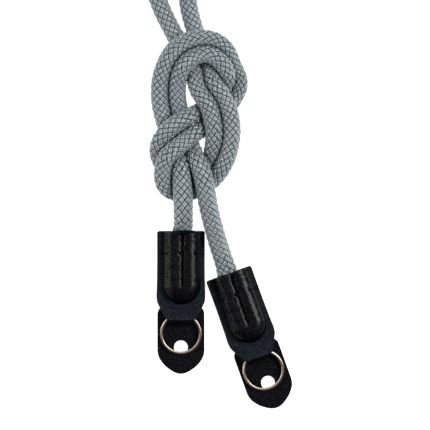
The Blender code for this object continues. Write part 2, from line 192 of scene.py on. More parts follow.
def laid(tab, points):
    """Points given in the tab's own frame, moved to where the tab lies."""
    turn = math.radians(tab.turn_degrees)
    x, y, *rest = np.array(points).T
    across = tab.mouth_x + x * math.cos(turn) - y * math.sin(turn)
    upwards = tab.mouth_y + x * math.sin(turn) + y * math.cos(turn)
    return np.column_stack([across, upwards, *rest])


def in_tab_frame(tab, points):
    """World points in the tab's own frame: X across it, Y up towards its mouth."""
    turn = math.radians(tab.turn_degrees)
    x, y = points[:, 0] - tab.mouth_x, points[:, 1] - tab.mouth_y
    across = x * math.cos(turn) + y * math.sin(turn)
    upwards = y * math.cos(turn) - x * math.sin(turn)
    return np.column_stack([across, upwards, points[:, 2:]])


def rope_in_pocket(tab):
    """The rope inside one tab, from its cut end round the U and out at the mouth."""
    turn = np.radians((0, -45, -90, -135, -180))
    foot = zip(LEG_OFFSET * np.cos(turn), U_CENTRE + LEG_OFFSET * np.sin(turn), strict=True)
    line = [(LEG_OFFSET, TAIL_END), (LEG_OFFSET, LEG_TOP), *foot, (-LEG_OFFSET, LEG_TOP)]
    line.append((0.1 - LEG_OFFSET, -10.5))
    return [
        *((x, y, LEG_HEIGHT, POCKET_ROPE) for x, y in line),
        (-1.7, -5.0, LEG_HEIGHT, 2.9),
        (tab.rope_offset, 0.0, 4.9, 3.35),
    ]


print([tab.name for tab in TABS])

# %% First pass through the knot, from the left tab
FIRST_PASS = [
    # from the left tab up over the knot's foot
    (-17.5, 42.0, 7.4, 3.9), (-17.5, 48.0, 10.6, 3.9), (-17.5, 54.0, 11.4, 3.85),
    (-18.0, 59.5, 10.2, 3.75), (-19.0, 65.5, 7.2, 3.6),
    # under both bands and up the left side
    (-21.0, 72.0, 4.6, 3.5), (-23.5, 78.5, 3.5, 3.45), (-26.0, 86.0, 3.5, 3.45),
    (-27.5, 93.0, 5.0, 3.5), (-27.5, 101.5, 7.5, 3.5),
    # the outer arc, over both standing strands
    (-25.5, 108.5, 9.6, 3.5), (-21.5, 115.5, 10.9, 3.5), (-15.0, 119.6, 11.2, 3.4),
    (-7.6, 120.3, 10.6, 3.3), (-0.4, 117.4, 8.7, 3.25), (3.4, 111.2, 6.0, 3.1),
    (4.1, 103.4, 4.1, 3.1),
    # down the right side and under the two strands that come down the middle
    (4.5, 96.5, 3.3, 3.1), (1.5, 90.5, 3.3, 3.2), (-4.0, 85.5, 4.0, 3.3),
    # the lower band
    (-10.0, 81.5, 6.2, 3.4), (-15.5, 77.5, 9.5, 3.5), (-20.0, 73.5, 11.3, 3.5),
    (-24.0, 68.5, 10.9, 3.5),
    # round the knot's foot
    (-26.0, 63.0, 8.6, 3.5), (-24.5, 58.0, 5.2, 3.5), (-19.5, 54.5, 3.5, 3.5),
    (-13.5, 55.5, 3.5, 3.5), (-7.0, 59.0, 4.6, 3.5),
    # up the right side, over the bands
    (-1.0, 66.5, 8.0, 3.5), (2.5, 73.5, 10.4, 3.5), (3.5, 81.0, 11.1, 3.5),
    (2.5, 88.5, 11.1, 3.5), (-0.5, 95.0, 9.6, 3.45),
    # under both arcs and out at the top
    (-4.0, 102.5, 6.6, 3.45), (-7.5, 110.5, 4.0, 3.45), (-10.5, 118.0, 3.5, 3.5),
    (-12.5, 124.5, 3.6, 3.6), (-14.5, 131.5, 3.7, 3.7),
]
print(len(FIRST_PASS), "points")

# %% Round the neck loop, flat on the table
AT_REST = 3.7  # the rope's radius where nothing squeezes it, and its height on the table
NECK_LOOP = [
    (x, y, AT_REST, AT_REST)
    for x, y in (
        (-15.6, 138.0), (-16.0, 147.0), (-12.5, 159.0), (-3.0, 174.0), (8.5, 191.0),
        (17.0, 211.0), (21.0, 234.0), (21.0, 258.0), (16.5, 280.0), (6.0, 296.0),
        (-8.0, 300.0), (-22.0, 294.0), (-31.0, 278.0), (-34.0, 256.0), (-34.5, 228.0),
        (-35.0, 200.0), (-35.5, 175.0), (-34.0, 155.0),
    )
]
print(len(NECK_LOOP), "points")

# %% Second pass through the knot, to the right tab
SECOND_PASS = [
    # in at the top, under both arcs
    (-28.6, 138.0, 3.7, 3.7), (-26.0, 131.5, 3.7, 3.7), (-23.0, 125.5, 3.6, 3.6),
    (-19.5, 119.0, 3.5, 3.5), (-16.0, 112.0, 4.2, 3.45), (-12.5, 105.0, 7.0, 3.45),
    # down the middle, over the bands
    (-9.0, 97.5, 9.8, 3.5), (-6.0, 89.0, 11.1, 3.5), (-4.5, 81.0, 10.9, 3.5),
    (-4.5, 74.0, 9.6, 3.5),
    # round the knot's foot, inside the first pass and then under it
    (-6.5, 68.0, 6.6, 3.5), (-11.0, 63.5, 4.2, 3.5), (-16.5, 61.5, 3.5, 3.5),
    (-22.0, 63.0, 3.5, 3.5), (-26.5, 67.0, 4.0, 3.5), (-28.0, 73.0, 6.5, 3.5),
    # the upper band
    (-26.0, 78.5, 9.6, 3.5), (-20.5, 84.0, 11.3, 3.5), (-15.0, 87.0, 9.5, 3.45),
    (-9.5, 90.0, 6.2, 3.35), (-4.5, 93.5, 4.6, 3.2),
    # up the right side and the inner arc
    (-0.5, 98.5, 5.2, 3.1), (1.5, 104.5, 7.8, 3.1), (-1.5, 110.5, 10.2, 3.35),
    (-7.0, 114.0, 11.3, 3.5), (-13.5, 112.0, 10.9, 3.5), (-18.0, 107.0, 9.5, 3.5),
    # down the left side, under the bands
    (-20.0, 99.5, 7.0, 3.5), (-19.5, 92.0, 4.6, 3.45), (-17.5, 84.0, 3.5, 3.45),
    (-15.0, 76.5, 4.6, 3.5),
    # over the knot's foot and down to the right tab
    (-12.0, 69.5, 7.6, 3.6), (-9.5, 63.5, 10.8, 3.8), (-8.0, 57.0, 11.6, 3.85),
    (-6.8, 49.5, 10.8, 3.9), (-4.9, 41.5, 8.8, 3.9), (-2.5, 33.0, 6.2, 3.9),
    (-0.3, 26.0, 4.8, 3.85),
]
print(len(SECOND_PASS), "points")

# %% [markdown]
# ## From the table to a rope that lies still
#
# A table of points is never exact: two strands may cut a little into each other. A cloth or
# soft body simulation could settle a whole knot, but it is slow and hard to repeat. This short loop
# does the one thing that is needed. It pushes strands apart where they are closer than their radii,
# keeps bends smooth, keeps everything above the table, and pulls each point gently towards home.

# %% Reading the table as a smooth curve
ROUTE_STEP = 2.0
FLOOR_CLEAR = 0.05


def blend(t, start, end, first, second):
    """first where t is start, second where it is end, and in proportion elsewhere."""
    return ((end - t) * first + (t - start) * second) / (end - start)


def smooth_curve(points, between=12):
    """A centripetal Catmull-Rom curve through the points; every column is carried along."""
    p = np.array(points, float)
    p = np.vstack([2 * p[0] - p[1], p, 2 * p[-1] - p[-2]])
    spans = np.linalg.norm(np.diff(p[:, :3], axis=0), axis=1) ** 0.5
    made = []
    for i in range(len(p) - 3):
        k = np.cumsum([0.0, *spans[i : i + 3]])
        t = np.linspace(k[1], k[2], between, endpoint=False)[:, None]
        a, b, c = (blend(t, k[j], k[j + 1], p[i + j], p[i + j + 1]) for j in range(3))
        made.append(blend(t, k[1], k[2], blend(t, k[0], k[2], a, b), blend(t, k[1], k[3], b, c)))
    return np.vstack([*made, p[-2]])


def along(points):
    """Distance along the line at every point."""
    steps = np.linalg.norm(np.diff(points[:, :3], axis=0), axis=1)
    return np.concatenate([[0.0], np.cumsum(steps)])


def evenly_spaced(points, step):
    at = along(points)
    wanted = np.linspace(0.0, at[-1], round(at[-1] / step) + 1)
    return np.stack([np.interp(wanted, at, column) for column in points.T], axis=1)


left_end, right_end = (laid(tab, rope_in_pocket(tab)) for tab in TABS)
drawn = np.vstack([left_end, FIRST_PASS, NECK_LOOP, SECOND_PASS, right_end[::-1]])
route = evenly_spaced(smooth_curve(drawn), ROUTE_STEP)
in_pocket = along(smooth_curve(rope_in_pocket(left)))[-1]
print("rope", round(along(route)[-1]), "mm, of which", round(in_pocket), "mm in each tab")

# %% Settling the knot
ROUNDS, PASSES = 240, 3
LOOK_EVERY, LOOK_AROUND = 12, 2.0  # how often close pairs are sought, and how far beyond touching
STIFFNESS = 0.06  # the share of a kink that is smoothed away each round
PULL_HOME = (0.03, 0.03, 0.01)  # and of the way home, in X, Y and Z
PUSH = 0.5  # and of an overlap, each pass
ONE_BEND = 1.7  # points within this many diameters along the rope leave each other alone


def distances(place):
    return np.linalg.norm(place[:, None] - place[None, :], axis=2)


def on_one_bend(apart):
    number = np.arange(len(apart))
    return np.abs(number[:, None] - number[None, :]) * ROUTE_STEP < ONE_BEND * apart


def settled(route, free):
    place, radius = route[:, :3].copy(), route[:, 3]
    home = place.copy()
    loose = free[:, None]
    apart = radius[:, None] + radius[None, :] + GAP
    neighbours = on_one_bend(apart)
    for turn in range(ROUNDS):
        if turn % LOOK_EVERY == 0:
            one, other = np.nonzero((distances(place) < apart + LOOK_AROUND) & ~neighbours)
        bend = np.zeros_like(place)
        bend[1:-1] = place[:-2] - 2 * place[1:-1] + place[2:]
        kink = np.zeros_like(place)
        kink[2:-2] = bend[1:-3] - 2 * bend[2:-2] + bend[3:-1]
        place -= loose * STIFFNESS * kink
        place += loose * PULL_HOME * (home - place)
        for _ in range(PASSES):
            between = place[one] - place[other]
            length = np.linalg.norm(between, axis=1)
            short = np.maximum(apart[one, other] - length, 0.0) / length
            push, weight = np.zeros_like(place), np.zeros(len(place))
            np.add.at(push, one, between * (short * short)[:, None])
            np.add.at(weight, one, short)
            place += loose * PUSH * push / np.maximum(weight, 1e-9)[:, None]
            place[:, 2] = np.maximum(place[:, 2], radius + FLOOR_CLEAR)
    return np.column_stack([place, radius])


at = along(route)
free = (at > in_pocket + ROUTE_STEP) & (at < at[-1] - in_pocket - ROUTE_STEP)
rope_line = settled(route, free)
print("moved by up to", np.abs(rope_line - route).max(0)[:3].round(1), "mm")

# %% [markdown]
# ## A pulled rope fills its room
#
# The part keeps a running gap between strands. In a real knot they press on each other, and no
# light comes through between two that lie side by side. So each strand is swollen here towards the
# one beside it, by less than a millimetre, until they meet. Its far flank stays where it was.

# %% Swelling the strands
MOST_SWELL = 0.6
SWELL_REACH = 2 * MOST_SWELL + 0.3  # strands with more room than this between them are left alone
NO_NEIGHBOUR = 99.0
EASING = np.array([1, 2, 3, 2, 1]) / 9  # evens the swelling out along the rope


def swollen(line):
    place, radius = line[:, :3], line[:, 3]
    apart = radius[:, None] + radius[None, :]
    between = distances(place) - apart
    between[on_one_bend(apart + GAP)] = NO_NEIGHBOUR
    room, nearest = between.min(axis=1), between.argmin(axis=1)
    swell = np.where(room < SWELL_REACH, np.clip(room / 2, 0.0, MOST_SWELL), 0.0)
    towards = unit(place[nearest] - place)
    change = np.column_stack([towards * swell[:, None] / 2, swell / 2]) * free[:, None]
    eased = [np.convolve(column, EASING, mode="same") for column in change.T]
    return line + np.stack(eased, axis=1)


rope_line = swollen(rope_line)
print("radius from", rope_line[:, 3].min().round(2), "to", rope_line[:, 3].max().round(2), "mm")

# %% [markdown]
# ## The braid
#
# The rope is a sixteen-carrier tubular braid. Eight carriers wind one way round it and eight the
# other, each goes over one and under one, and each carrier lays down two yarns side by side. Wound
# at 45 degrees, that gives upright columns of short slanting stitches that lean left and right by
# turns. It could be a bump texture on a tube, but the stitches show in the outline and throw small
# shadows, so here they are real: every carrier is one long ribbon with two rounded yarns on top.
# Blender has no operator that braids, so the ribbons' points are worked out and meshed at once.

# %% Sizes of the braid
CARRIERS_EACH_WAY = 8
STITCH = 3.05  # along the rope, from one stitch of a column to the next
LEAD = CARRIERS_EACH_WAY * STITCH  # along the rope, for one turn round it
STATIONS_PER_STITCH = 5
YARN_PROUD = 0.34  # how far the crest of a stitch stands over the plain rope's radius
YARN_DIP = 0.8  # how far a carrier drops where another crosses over it
FLAT_CREST = 0.7  # under 1, a stitch stays longer on its crest
RIBBON_HALF_WIDTH, WIDTH_AT_RADIUS = 0.88, 3.9  # its half width, at that radius of the rope
INTO_POCKET = 1.4  # the yarns are followed this far into each tab's mouth

# across the ribbon, in half widths, and over its middle surface
RIBBON = [(-1.0, -0.5), (-0.8, -0.12), (-0.46, 0.0), (0.0, -0.3)]
RIBBON += [(-across, height) for across, height in reversed(RIBBON[:-1])]
print("a turn every", LEAD, "mm, and", len(RIBBON), "points across a ribbon")

# %% The rope pressed down at the mouths
MOUTH_WIDTHS = (4.4, 4.75)  # half the rope's width at the left and the right mouth
MOUTH_SQUASH = 0.42  # the share of its height that the leather presses away there
MOUTH_SINK = 0.9  # and how far its middle is pressed down
MOUTH_FADE = 7.0


def near_mouth(distance):
    """1 at a mouth, falling to 0 at MOUTH_FADE from it on either side."""
    return ramp(np.abs(distance), MOUTH_FADE, 0.0)


def pressed_down(line):
    """The line with its middle pressed down at both mouths, and how near each point is to one."""
    at = along(line)
    from_mouth = np.minimum(np.abs(at - in_pocket), np.abs(at - (at[-1] - in_pocket)))
    near = near_mouth(from_mouth)
    line = line.copy()
    line[:, 2] -= MOUTH_SINK * near
    return line, near


stations = evenly_spaced(smooth_curve(rope_line, between=4), STITCH / STATIONS_PER_STITCH)
fine, fine_near = pressed_down(stations)
fine_at = along(fine)
first_mouth, second_mouth = in_pocket, fine_at[-1] - in_pocket
shown = (fine_at > first_mouth - INTO_POCKET) & (fine_at < second_mouth + INTO_POCKET)
yarn_line, yarn_at, near = fine[shown], fine_at[shown], fine_near[shown]
print(len(yarn_line), "stations,", round(yarn_at[-1] - yarn_at[0]), "mm of braid")


# %% Directions along the rope
def steady_frames(points):
    """The heading, and two directions square to it, carried along the line without twist."""
    heading = unit(np.gradient(points, axis=0))
    side = np.cross(heading[0], (0.0, 0.0, 1.0))
    sides = []
    for ahead in heading:
        side = unit(side - ahead * (side @ ahead))
        sides.append(side)
    return heading, np.array(sides), np.cross(heading, sides)


heading, side, up = steady_frames(yarn_line[:, :3])
level = unit(np.cross(heading, (0.0, 0.0, 1.0)))
at_mouth = np.where(yarn_at < (first_mouth + second_mouth) / 2, *MOUTH_WIDTHS)
wider = near * np.maximum(at_mouth / (yarn_line[:, 3] + YARN_PROUD) - 1.0, 0.0)
print("wider at a mouth by up to", round(float(wider.max()), 2))


# %% One carrier's ribbon
def rope_surface(angle, lift):
    """Points on the rope, at an angle round it and a height over its plain radius."""
    out = side * np.cos(angle)[:, None] + up * np.sin(angle)[:, None]
    off = out * (yarn_line[:, 3] + lift)[:, None]
    off += level * (wider * (off * level).sum(1))[:, None]
    off[:, 2] *= 1.0 - MOUTH_SQUASH * near
    return yarn_line[:, :3] + off, out


def ribbon(carrier, way):
    """The points across one carrier's ribbon at every station, and how high it rides there."""
    turned = 2 * math.pi * (carrier / CARRIERS_EACH_WAY + way * yarn_at / LEAD)
    weave = way * np.cos(2 * math.pi * yarn_at / STITCH)
    lift = YARN_PROUD - YARN_DIP * (1 - np.sign(weave) * np.abs(weave) ** FLAT_CREST) / 2
    middle, out = rope_surface(turned, lift)
    across = unit(np.cross(unit(np.gradient(middle, axis=0)), out))
    half = RIBBON_HALF_WIDTH * yarn_line[:, 3] / WIDTH_AT_RADIUS
    rings = [middle + across * (half * x)[:, None] + out * height for x, height in RIBBON]
    rings = np.stack(rings, axis=1)
    rings[..., 2] = np.maximum(rings[..., 2], FLOOR_CLEAR)  # flat where it lies on the table
    return rings, weave


print("first ribbon starts at", ribbon(0, 1)[0][0, 0].round(1))

# %% [markdown]
# ## Painted shade where strands touch
#
# Two strands that lie against each other leave a deep cleft, where little light gets in. The
# strands here are pushed together, so that cleft is partly filled, and its shade is lost. That
# shade is painted back into the yarns' colour, from how near the next strand is.

# %% How close the next strand is
CROWD_REACH = 3.0
SAME_STRAND = 14.0  # points nearer than this along the rope belong to the same strand

beside = np.linalg.norm(yarn_line[:, None, :3] - yarn_line[None, ::2, :3], axis=2)
beside[np.abs(yarn_at[:, None] - yarn_at[None, ::2]) < SAME_STRAND] = np.inf
crowded_at = np.nonzero(beside.min(axis=1) < 4 * CROWD_REACH)[0]
crowders = crowded_at[::2]
one_strand = np.abs(yarn_at[crowded_at][:, None] - yarn_at[crowders][None, :]) < SAME_STRAND
print(len(crowded_at), "stations lie beside another strand")


def crowding(rings):
    """1 where a yarn touches another strand of the rope, falling to 0 at CROWD_REACH from it."""
    found = np.zeros(rings.shape[:2])
    for k in range(rings.shape[1]):
        away = np.linalg.norm(rings[crowded_at, None, k] - yarn_line[None, crowders, :3], axis=2)
        away = np.where(one_strand, CROWD_REACH, away - yarn_line[crowders, 3])
        found[crowded_at, k] = ramp(away.min(axis=1), CROWD_REACH, 0.0)
    return found


# %% Eight ribbons as one mesh
def braid_piece(name, way):
    around, stations = len(RIBBON), len(yarn_line)
    points, over, tone, cleft_shade, faces = [], [], [], [], []
    rng = np.random.default_rng(8 + way)
    for carrier in range(CARRIERS_EACH_WAY):
        rings, weave = ribbon(carrier, way)
        points.append(rings.reshape(-1, 3))
        over.append(np.repeat(weave, around))
        tone.append(np.full(around * stations, rng.uniform()))
        cleft_shade.append(crowding(rings).ravel())
        a = np.arange(around * stations).reshape(stations, around) + carrier * around * stations
        b = np.roll(a, -1, axis=1)
        quads = np.stack([a[:-1], b[:-1], b[1:], a[1:]], axis=2).reshape(-1, 4)
        faces += [*quads.tolist(), a[0, ::-1].tolist(), a[-1].tolist()]
    mesh = bpy.data.meshes.new(name)
    mesh.from_pydata((np.vstack(points) * MM).tolist(), [], faces)
    made = bpy.data.objects.new(name, mesh)
    bpy.context.scene.collection.objects.link(made)
    for label, values in (("over", over), ("tone", tone), ("cleft_shade", cleft_shade)):
        mark(made, label, np.concatenate(values))
    return made


def yarn_uv(piece):
    """A UV map with U along the yarns and V across the ribbon, both in ribbon widths."""
    around = len(RIBBON)
    layer = piece.data.uv_layers.new(name="along_yarn")
    vertex = np.zeros(len(piece.data.loops), np.int32)
    piece.data.loops.foreach_get("vertex_index", vertex)
    uv = np.column_stack([vertex // around / 2, vertex % around / (around - 1)])
    layer.data.foreach_set("uv", uv.astype(np.float32).ravel())


braid_right = braid_piece("rope_yarns_right_hand", 1)
braid_left = braid_piece("rope_yarns_left_hand", -1)
for piece in (braid_right, braid_left):
    yarn_uv(piece)
    facing_out(piece)
    print(piece.name, len(piece.data.polygons), "faces")

# %% [markdown]
# ## The core
#
# Under the yarns lies the rope's core, which shows only as darkness between the stitches. It is a
# plain tube along the whole rope, with its cut end inside each tab, made as a curve with a round
# bevel.

# %% The core as a bevelled curve
CORE_STEP = 3.0
CORE_UNDER = 0.5  # how far the core's surface lies under the plain rope's radius
CORE_HIDDEN = 0.85  # its radius is this share inside the leather, where nothing of it shows

core_points, core_near = pressed_down(evenly_spaced(rope_line, CORE_STEP))
core_at = along(core_points)
core_radius = (core_points[:, 3] - CORE_UNDER) * (1.0 - MOUTH_SQUASH * core_near)
from_end = np.minimum(core_at, core_at[-1] - core_at)
core_radius[from_end < in_pocket - 2 * INTO_POCKET] *= CORE_HIDDEN
core = empty_curve("rope_core")
straight_runs(core, core_points[:, :3]).points.foreach_set("radius", core_radius)
core.data.bevel_depth = MM
core.data.bevel_resolution = 3
core.data.use_fill_caps = True
bpy.ops.object.convert(target="MESH")
edit_all(core, bpy.ops.mesh.remove_doubles, threshold=WELD * MM)
bpy.ops.object.shade_smooth_by_angle(angle=math.radians(60))

# %% [markdown]
# ## The leather tabs
#
# Each tab is one strip of black leather. It runs down the back, round the split ring and up the
# front, where it is wetted and pressed over the two legs of rope and sewn down round them in a U.
# A sheet that is pressed over something is a height field, so the strip starts as a flat grid. Its
# rows are laid along the back and over the fold. On the front, every vertex is lifted to where the
# rope, the stitched groove or the flat rim puts it, and the neck rises to the fold as one ramp.
# Solidify then gives the strip its thickness.

# %% The strip's path down the back and round the fold
CORNER = 0.8  # radius of the strip's corners at the mouth
STRIP_COLUMNS = 64
BACK_ROW_STEP, FRONT_ROW_STEP = 0.7, 0.32
FRONT_START = -36.6  # from here to the mouth the front is laid as a height over the table
FOLD_TOP = 13  # the row at the top of the fold; the rows after it give only the neck's width

# Y, height and half width
BACK_AND_FOLD = np.array([
    (0.0, 0.55, 10.25), (-14.0, 0.55, 10.2), (-24.0, 0.55, 10.35), (-28.5, 0.55, 10.5),
    (-30.4, 1.0, 10.2), (-32.0, 2.05, 9.4), (-34.5, 2.0, 8.0), (-37.0, 2.0, 6.6),
    (-38.4, 2.2, 5.6), (-39.1, 3.0, 5.0), (-39.25, 4.4, 5.0), (-39.1, 5.85, 5.0),
    (-38.4, 6.75, 5.6), (-37.0, 7.0, 6.6), (-35.4, 6.75, 7.6), (-33.9, 5.4, 8.3),
    (-32.8, 3.7, 9.0), (-32.0, 2.4, 9.4),
])


def cornered(y, half):
    """Half width, less what the rounded corner takes away close to the mouth."""
    into = np.clip(CORNER + y, 0.0, CORNER)
    return half - (CORNER - np.sqrt(CORNER**2 - into**2))


over_fold = np.insert(BACK_AND_FOLD[: FOLD_TOP + 1], 2, 0.0, axis=1)
back_rows = evenly_spaced(smooth_curve(over_fold, between=8), BACK_ROW_STEP)[:, [0, 1, 3]]
back_rows[:, 2] = cornered(back_rows[:, 0], back_rows[:, 2])
front_at = np.arange(FRONT_START, 0.01, FRONT_ROW_STEP)
front_table = np.vstack([BACK_AND_FOLD[FOLD_TOP:], BACK_AND_FOLD[4:0:-1]])
front_half = cornered(front_at, np.interp(front_at, front_table[:, 0], front_table[:, 2]))
print(len(back_rows), "rows behind,", len(front_at), "in front")

# %% The rope as the leather feels it
LEFT_LOBE, RIGHT_LOBE = -2.85, 3.75  # the right one is pressed a little further out
LOBES_MIDDLE, LOBES_HALF = (LEFT_LOBE + RIGHT_LOBE) / 2, (RIGHT_LOBE - LEFT_LOBE) / 2
LOBE_TOP, LOBE_STEP, LOBE_TURN = 0.6, 0.4, 6  # its end past the mouth; mm and degrees a step
MOUTH_LEG = (-14.0, 6.0)  # how far the leg that comes out at the mouth is followed, in Y
MOUTH_LEG_AT, MOUTH_LEG_REACH = -1.9, 4.1  # its X, and how far from it the rope may wander


def lobe_line():
    """The U that the rope's two legs press into the leather, from mouth to mouth."""
    leg = np.arange(U_CENTRE, LOBE_TOP, LOBE_STEP)
    legs = [(x, y) for x in (LEFT_LOBE, RIGHT_LOBE) for y in leg]
    turn = np.radians(np.arange(180, 361, LOBE_TURN))
    foot_x, foot_y = LOBES_MIDDLE + LOBES_HALF * np.cos(turn), U_CENTRE + LOBES_HALF * np.sin(turn)
    return np.array([*legs, *zip(foot_x, foot_y, strict=True)])


def rope_at_mouth(tab):
    """The pressed rope in and just outside the mouth, which the leather has to clear.

    Where it climbs, its top leans back over an earlier part of its middle, so Y is that of the top.
    The last column is the share of its radius that the top stands over the middle.
    """
    rope = in_tab_frame(tab, fine)
    followed = (rope[:, 1] > MOUTH_LEG[0]) & (rope[:, 1] < MOUTH_LEG[1])
    rope = rope[followed & (np.abs(rope[:, 0] - MOUTH_LEG_AT) < MOUTH_LEG_REACH)]
    rope = rope[np.argsort(rope[:, 1])]
    climb = np.arctan(np.gradient(rope[:, 2]) / np.gradient(rope[:, 1]))
    stands = (1.0 - MOUTH_SQUASH * near_mouth(rope[:, 1])) * np.cos(climb)
    rope[:, 1] -= (rope[:, 3] + YARN_PROUD) * np.sin(climb)
    return np.column_stack([rope, stands])


lobes = lobe_line()
mouth_rope = {tab.name: rope_at_mouth(tab) for tab in TABS}
print("rope at the mouths:", {name: len(rope) for name, rope in mouth_rope.items()}, "points")

# %% Leather over the rope
LOBE_CLEAR = 0.2  # between the plain rope and the leather over it, inside the pocket
DRAPE_STEEP = 0.9  # the leather leaves the rope at this share of its reach and drops to the rim
DRAPE_SLOPE = 5.0
STRETCHED = 0.3  # how much of the distance counts between the legs, where leather is stretched
SPREAD_OUT = 0.88  # and how much counts outside them, where it is pulled out to the seam
ROPE_CLEAR = 0.62  # between the rope and the leather at the mouth
CORE_CLEAR_FROM = -12.0  # the leather makes room for the core from here to the mouth
YARNS_CLEAR_FROM = -INTO_POCKET - 0.4  # and for the yarns from here


def off_middle(x, y):
    """Distance from a line that runs up the middle of the U and ends at U_CENTRE."""
    return np.where(y > U_CENTRE, np.abs(x), np.hypot(x, y - U_CENTRE))


def draped(x, y):
    """Height of the leather's middle over the lobes' line, for arrays of places.

    Between the two legs it is stretched from one to the other, so it sags only a little there.
    """
    reach = POCKET_ROPE + LOBE_CLEAR + LEATHER / 2
    away = np.hypot(lobes[:, 0] - x[..., None], lobes[:, 1] - y[..., None])
    between = off_middle(x - LOBES_MIDDLE, y) < LOBES_HALF
    away = away * np.where(between, STRETCHED, SPREAD_OUT)[..., None]
    near = np.minimum(away, DRAPE_STEEP * reach)
    crown = np.sqrt(reach**2 - near**2)
    return (LEG_HEIGHT + crown - DRAPE_SLOPE * (away - near)).max(axis=-1)


def clearing(x, y, rope):
    """Least height of the leather's middle that leaves the yarns free, and the core further in."""
    middle, height, radius, stands = (np.interp(y, rope[:, 1], rope[:, k]) for k in (0, 2, 3, 4))
    skin = ROPE_CLEAR + LEATHER / 2

    def over(half, high):
        inside = np.sqrt(np.maximum(1.0 - ((x - middle) / (half + skin)) ** 2, 0.0))
        return np.where(inside > 0, height + (high + skin) * inside, 0.0)

    yarns = over(max(MOUTH_WIDTHS), (radius + YARN_PROUD) * stands)
    core_half = radius - CORE_UNDER
    least = over(core_half, core_half * stands)
    least = np.maximum(least, np.where(y > YARNS_CLEAR_FROM, yarns, 0.0))
    return np.where(y > CORE_CLEAR_FROM, least, 0.0)


print(len(lobes), "points on the lobes' line")

# %% The stitched U, the crease between the legs and the tacks across
STITCH_U = 7.5  # radius of the U, and its half width
U_ASIDE = 0.42  # the seam lies a little to the right of the tab's middle
SEAM_TOP = -2.0
STITCH_LENGTH, STITCH_GAP = 2.3, 1.1
STITCH_DEPTH, STITCH_SPREAD = 0.62, 0.34
PULL_SWING = 0.3  # the thread's pull swings by this about its mean, from stitch to gap
PULL_ENDS = (U_CENTRE - STITCH_U - 0.9, SEAM_TOP + 0.2)  # in Y, from below the U to its tops
SEAM_LEGS, SEAM_FOOT = SEAM_TOP - U_CENTRE, math.pi * STITCH_U
STITCHES = round((2 * SEAM_LEGS + SEAM_FOOT) / (STITCH_LENGTH + STITCH_GAP))
PITCH = (2 * SEAM_LEGS + SEAM_FOOT) / STITCHES
CREASE_AT = 0.7  # the crease lies a little to the right of the middle
CREASE_DEPTH, CREASE_SPREAD = 1.5, 0.4
CREASE_FROM, CREASE_TO = -0.9, -23.7
CREASE_WAVES = ((0.1, 1.9, 0.0), (0.07, 4.3, 1.0))  # its wander: mm, radians a mm, and start
FOLD_FROM = -1.8  # nearer the mouth the crease is only scored, to leave the rope its room
LIP_FROM, LIP_WIDE, LIP_DROP = -1.35, 1.2, 0.3  # an even slope down to the crease, on its left
LIP_ENDS = 3.0  # on the crease's right, the leather is level again from here

Tack = namedtuple("Tack", "x y length bite")
CROSS_TACKS = [Tack(-8.2, -9.7, 2.9, 5.8), Tack(0.3, -9.6, 1.5, 2.4), Tack(8.3, -9.7, 2.6, 4.8)]
print(STITCHES, "stitches in a U, one every", round(PITCH, 2), "mm")


def beyond_seam(x, y):
    """Distance outwards from the U of stitches, which is negative inside it."""
    return off_middle(x - U_ASIDE, y) - STITCH_U


def along_seam(x, y):
    """Distance along the U of stitches, from its left top round to its right top."""
    x = x - U_ASIDE
    legs = np.where(x < 0, SEAM_TOP - y, SEAM_LEGS + SEAM_FOOT + y - U_CENTRE)
    foot = SEAM_LEGS + STITCH_U * (np.arctan2(y - U_CENTRE, x) + math.pi)
    return np.where(y > U_CENTRE, legs, foot)


def bump_across(distance, spread):
    return np.exp(-((distance / spread) ** 2))


def off_crease(x, y):
    """Distance across from the crease, which wanders a little as pressed leather does."""
    off = x - CREASE_AT
    for height, turn, start in CREASE_WAVES:
        off = off - height * np.sin(turn * y + start)
    return off


def fade_between(y, low, high, soft):
    """1 between low and high, falling smoothly to 0 over soft outside them."""
    return 1 / (1 + np.exp(-(y - low) / soft)) / (1 + np.exp((y - high) / soft))


def seam_pull(x, y):
    """1 where the thread pulls the leather down, less between one stitch and the next."""
    dash = 1 - PULL_SWING - PULL_SWING * np.cos(2 * math.pi * along_seam(x, y) / PITCH)
    groove = bump_across(beyond_seam(x, y), STITCH_SPREAD)
    return dash * groove * fade_between(y, *PULL_ENDS, 0.15)


# %% The front panel as a height over the table
FRONT_RIM = LEATHER + GAP + LEATHER / 2
NECK_FOOT, NECK_RISE = -30.2, 5.05
NECK_EASE, NECK_EASED = 0.05, 0.965  # softness of the ramp's foot, and what that leaves of its rise
RIM_SOFT, MOUTH_SOFT = 0.22, 0.05


def higher(first, second, soft):
    """The higher of two surfaces, with the corner between them eased over soft."""
    return np.logaddexp(first / soft, second / soft) * soft


def front_height(x, y, tab):
    """Height of the front panel's middle surface."""
    ramp_up = higher(ramp(y, NECK_FOOT, FRONT_START), 0.0, NECK_EASE) - NECK_EASE * math.log(2)
    rim = FRONT_RIM + NECK_RISE * ramp_up / NECK_EASED
    height = higher(draped(x, y), rim, RIM_SOFT)
    off = off_crease(x, y)
    lean = ramp(off, LIP_FROM, LIP_FROM + LIP_WIDE) * ramp(off, LIP_ENDS, 0.0)
    fold = CREASE_DEPTH * bump_across(off, CREASE_SPREAD) + LIP_DROP * lean
    height -= fold * fade_between(y, CREASE_TO, FOLD_FROM, 0.3)
    height -= STITCH_DEPTH * seam_pull(x, y)
    return higher(height, clearing(x, y, mouth_rope[tab.name]), MOUTH_SOFT)


print("rim at", round(FRONT_RIM, 2), "mm, crease from", CREASE_FROM, "to", CREASE_TO)


